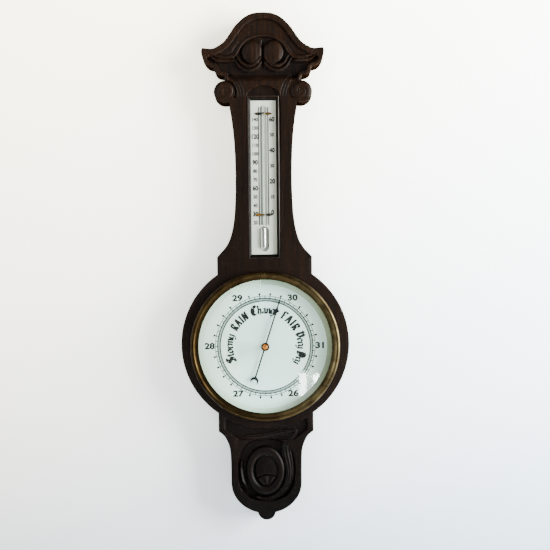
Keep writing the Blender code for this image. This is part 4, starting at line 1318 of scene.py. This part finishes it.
def make_stage():
    """The wall that the case hangs on, and a pale floor below the picture."""
    plaster = wall_material()
    y = WALL_FACE
    stage_plane("wall", [(-3, y, FLOOR), (3, y, FLOOR), (3, y, 2.2), (-3, y, 2.2)], plaster)
    floor = Shader("floor_paint", Metallic=0.0, Roughness=0.8)
    cloud = floor.noise(2.0, 3.0)
    floor.set("Base Color", floor.ramp(cloud, [(0.3, (0.66, 0.66, 0.66)), (0.7, (0.72, 0.72, 0.72))]))
    stage_plane("floor", [(-3, -4, FLOOR), (3, -4, FLOOR), (3, y, FLOOR), (-3, y, FLOOR)], floor.material)


def area_light(name, place, target, size, power, colour):
    """A soft rectangular lamp aimed at a point."""
    lamp = bpy.data.lights.new(name, "AREA")
    lamp.shape = "RECTANGLE"
    lamp.size, lamp.size_y = size
    lamp.energy = power
    lamp.color = colour
    item = bpy.data.objects.new(name, lamp)
    item.location = place
    aim = Vector(target) - Vector(place)
    item.rotation_euler = aim.to_track_quat("-Z", "Y").to_euler()
    bpy.context.scene.collection.objects.link(item)
    return item


def light_stage():
    """A window to the right, weak fills from the left, front and below, two panes and a dim room."""
    area_light("window", (2.5, -1.0, 0.5), (0, 0, 0.1), (1.2, 2.0), 900.0, (1.0, 0.985, 0.95))
    area_light("left_fill", (-1.9, -1.3, 0.3), (0, 0, 0.05), (1.2, 1.6), 70.0, (0.97, 0.98, 1.0))
    area_light("front_fill", (-0.9, -2.6, 1.6), (0, 0, 0.1), (1.8, 1.4), 60.0, (0.95, 0.98, 1.0))
    area_light("bounce", (0.2, -0.45, -1.0), (0, 0, 0.1), (1.6, 0.6), 7.5, (0.90, 0.95, 1.0))
    panes = (("pane", 0.113, -0.305, (0.024, 0.11)), ("side_pane", 0.165, -0.285, (0.03, 0.06)))
    for name, x, z, size in panes:
        pane = area_light(name, (x, -2.0, z), (x, 0.0, z), size, 0.9, (0.95, 0.98, 1.0))
        pane.visible_camera = False
    world = bpy.data.worlds.new("room")
    world.use_nodes = True
    background = world.node_tree.nodes["Background"]
    background.inputs["Color"].default_value = (0.95, 0.97, 1.0, 1.0)
    background.inputs["Strength"].default_value = 0.35
    bpy.context.scene.world = world


def light_back(pieces):
    """A weak lamp behind the wall that lights only the back of the case."""
    lit = bpy.data.collections.new("lit_from_behind")
    for item in pieces:
        lit.objects.link(item)
    lamp = area_light("back_fill", (0.5, 1.8, 0.6), (0, 0, 0.1), (1.6, 1.6), 34.0, (1.0, 0.98, 0.95))
    lamp.light_linking.receiver_collection = lit
    lamp.light_linking.blocker_collection = lit


def make_camera():
    """Nearly frontal, a little to the right and above the dial, tipped half a degree."""
    camera = bpy.data.cameras.new("camera")
    camera.sensor_width = 36.0
    camera.lens = CAMERA_LENS
    item = bpy.data.objects.new("camera", camera)
    item.location = CAMERA_PLACE
    upright = Matrix.Rotation(radians(90.0), 4, "X")
    roll = Matrix.Rotation(radians(CAMERA_ROLL), 4, "Z")
    item.rotation_euler = (upright @ roll).to_euler()
    bpy.context.scene.collection.objects.link(item)
    bpy.context.scene.camera = item


OAK = oak("stained_oak", (0.0010, 0.0006, 0.0004), (0.0035, 0.0018, 0.0009), (0.38, 0.54), 0.04)
EBONISED = oak("ebonised_moulding", (0.0008, 0.0006, 0.0005), (0.0026, 0.0019, 0.0013), (0.34, 0.46), 0.035)
# A lighter, glossier oak, painted highlight for the frame's outward bevels.
ARRIS_HIGHLIGHT = oak("arris_highlight", (0.0045, 0.0038, 0.0038), (0.011, 0.0095, 0.0095), (0.34, 0.46), 0.08)
BEZEL_BRASS = brass("bezel_brass", (0.040, 0.030, 0.0135), (0.012, 0.0075, 0.0034), tint=BEZEL_LIGHT_ACROSS)
COVER_BRASS = brass("cover_brass", (0.40, 0.265, 0.105), (0.24, 0.15, 0.058), cover=(0.25, 0.75))
CLIP_BRASS = brass("clip_brass", (0.16, 0.085, 0.022), (0.02, 0.014, 0.008), cover=(0.40, 0.60))
# A dark copy of the clip brass, painted shade for one half of each strap.
CLIP_SHADED_HALF = brass("clip_painted_shade", (0.035, 0.036, 0.034), (0.012, 0.012, 0.011))
KNOB_BRASS = rubbed_knob()
BULB_MERCURY = bulb_mercury()
NICKEL = metal("nickel_silver", (0.62, 0.60, 0.55), (0.45, 0.43, 0.38))
STEEL = metal("brushed_steel", (0.50, 0.50, 0.50), (0.32, 0.31, 0.30))
IRON = metal("black_iron", (0.08, 0.08, 0.085), (0.035, 0.033, 0.032), (0.5, 0.7))
HAND_STEEL = metal("blued_steel", (0.008, 0.010, 0.013), (0.003, 0.004, 0.005), (0.4, 0.55))
SET_BRONZE = metal("dark_bronze", (0.06, 0.045, 0.03), (0.025, 0.02, 0.015), (0.35, 0.5))
MERCURY = metal("mercury", (0.75, 0.76, 0.78), (0.65, 0.66, 0.68), (0.06, 0.12), strength=0.02)
THREAD = metal("mercury_thread", (0.20, 0.20, 0.21), (0.12, 0.12, 0.125), (0.35, 0.5), strength=0.02)
DIAL = printed_dial()
OPAL = opal()
INK = ink("printing_ink", (0.0060, 0.0068, 0.0065))
GLASS = clear_glass("plate_glass", (0.97, 0.985, 0.975), bevelled=True)
TUBE_GLASS = clear_glass("tube_glass", (0.93, 0.95, 0.93), 0.13, 0.15)

make_camera()
make_stage()
light_stage()
finish_nodes()
make_board()
make_bezel()
make_dial_marks()
make_hands()
make_knob()
make_scale()
make_scale_marks()
make_tube()
make_strap(1, 1.0)
make_strap(2, -1.0)
make_frame()

stage_names = ("wall", "floor")
light_back([item for item in bpy.data.objects if item.type == "MESH" and item.name not in stage_names])
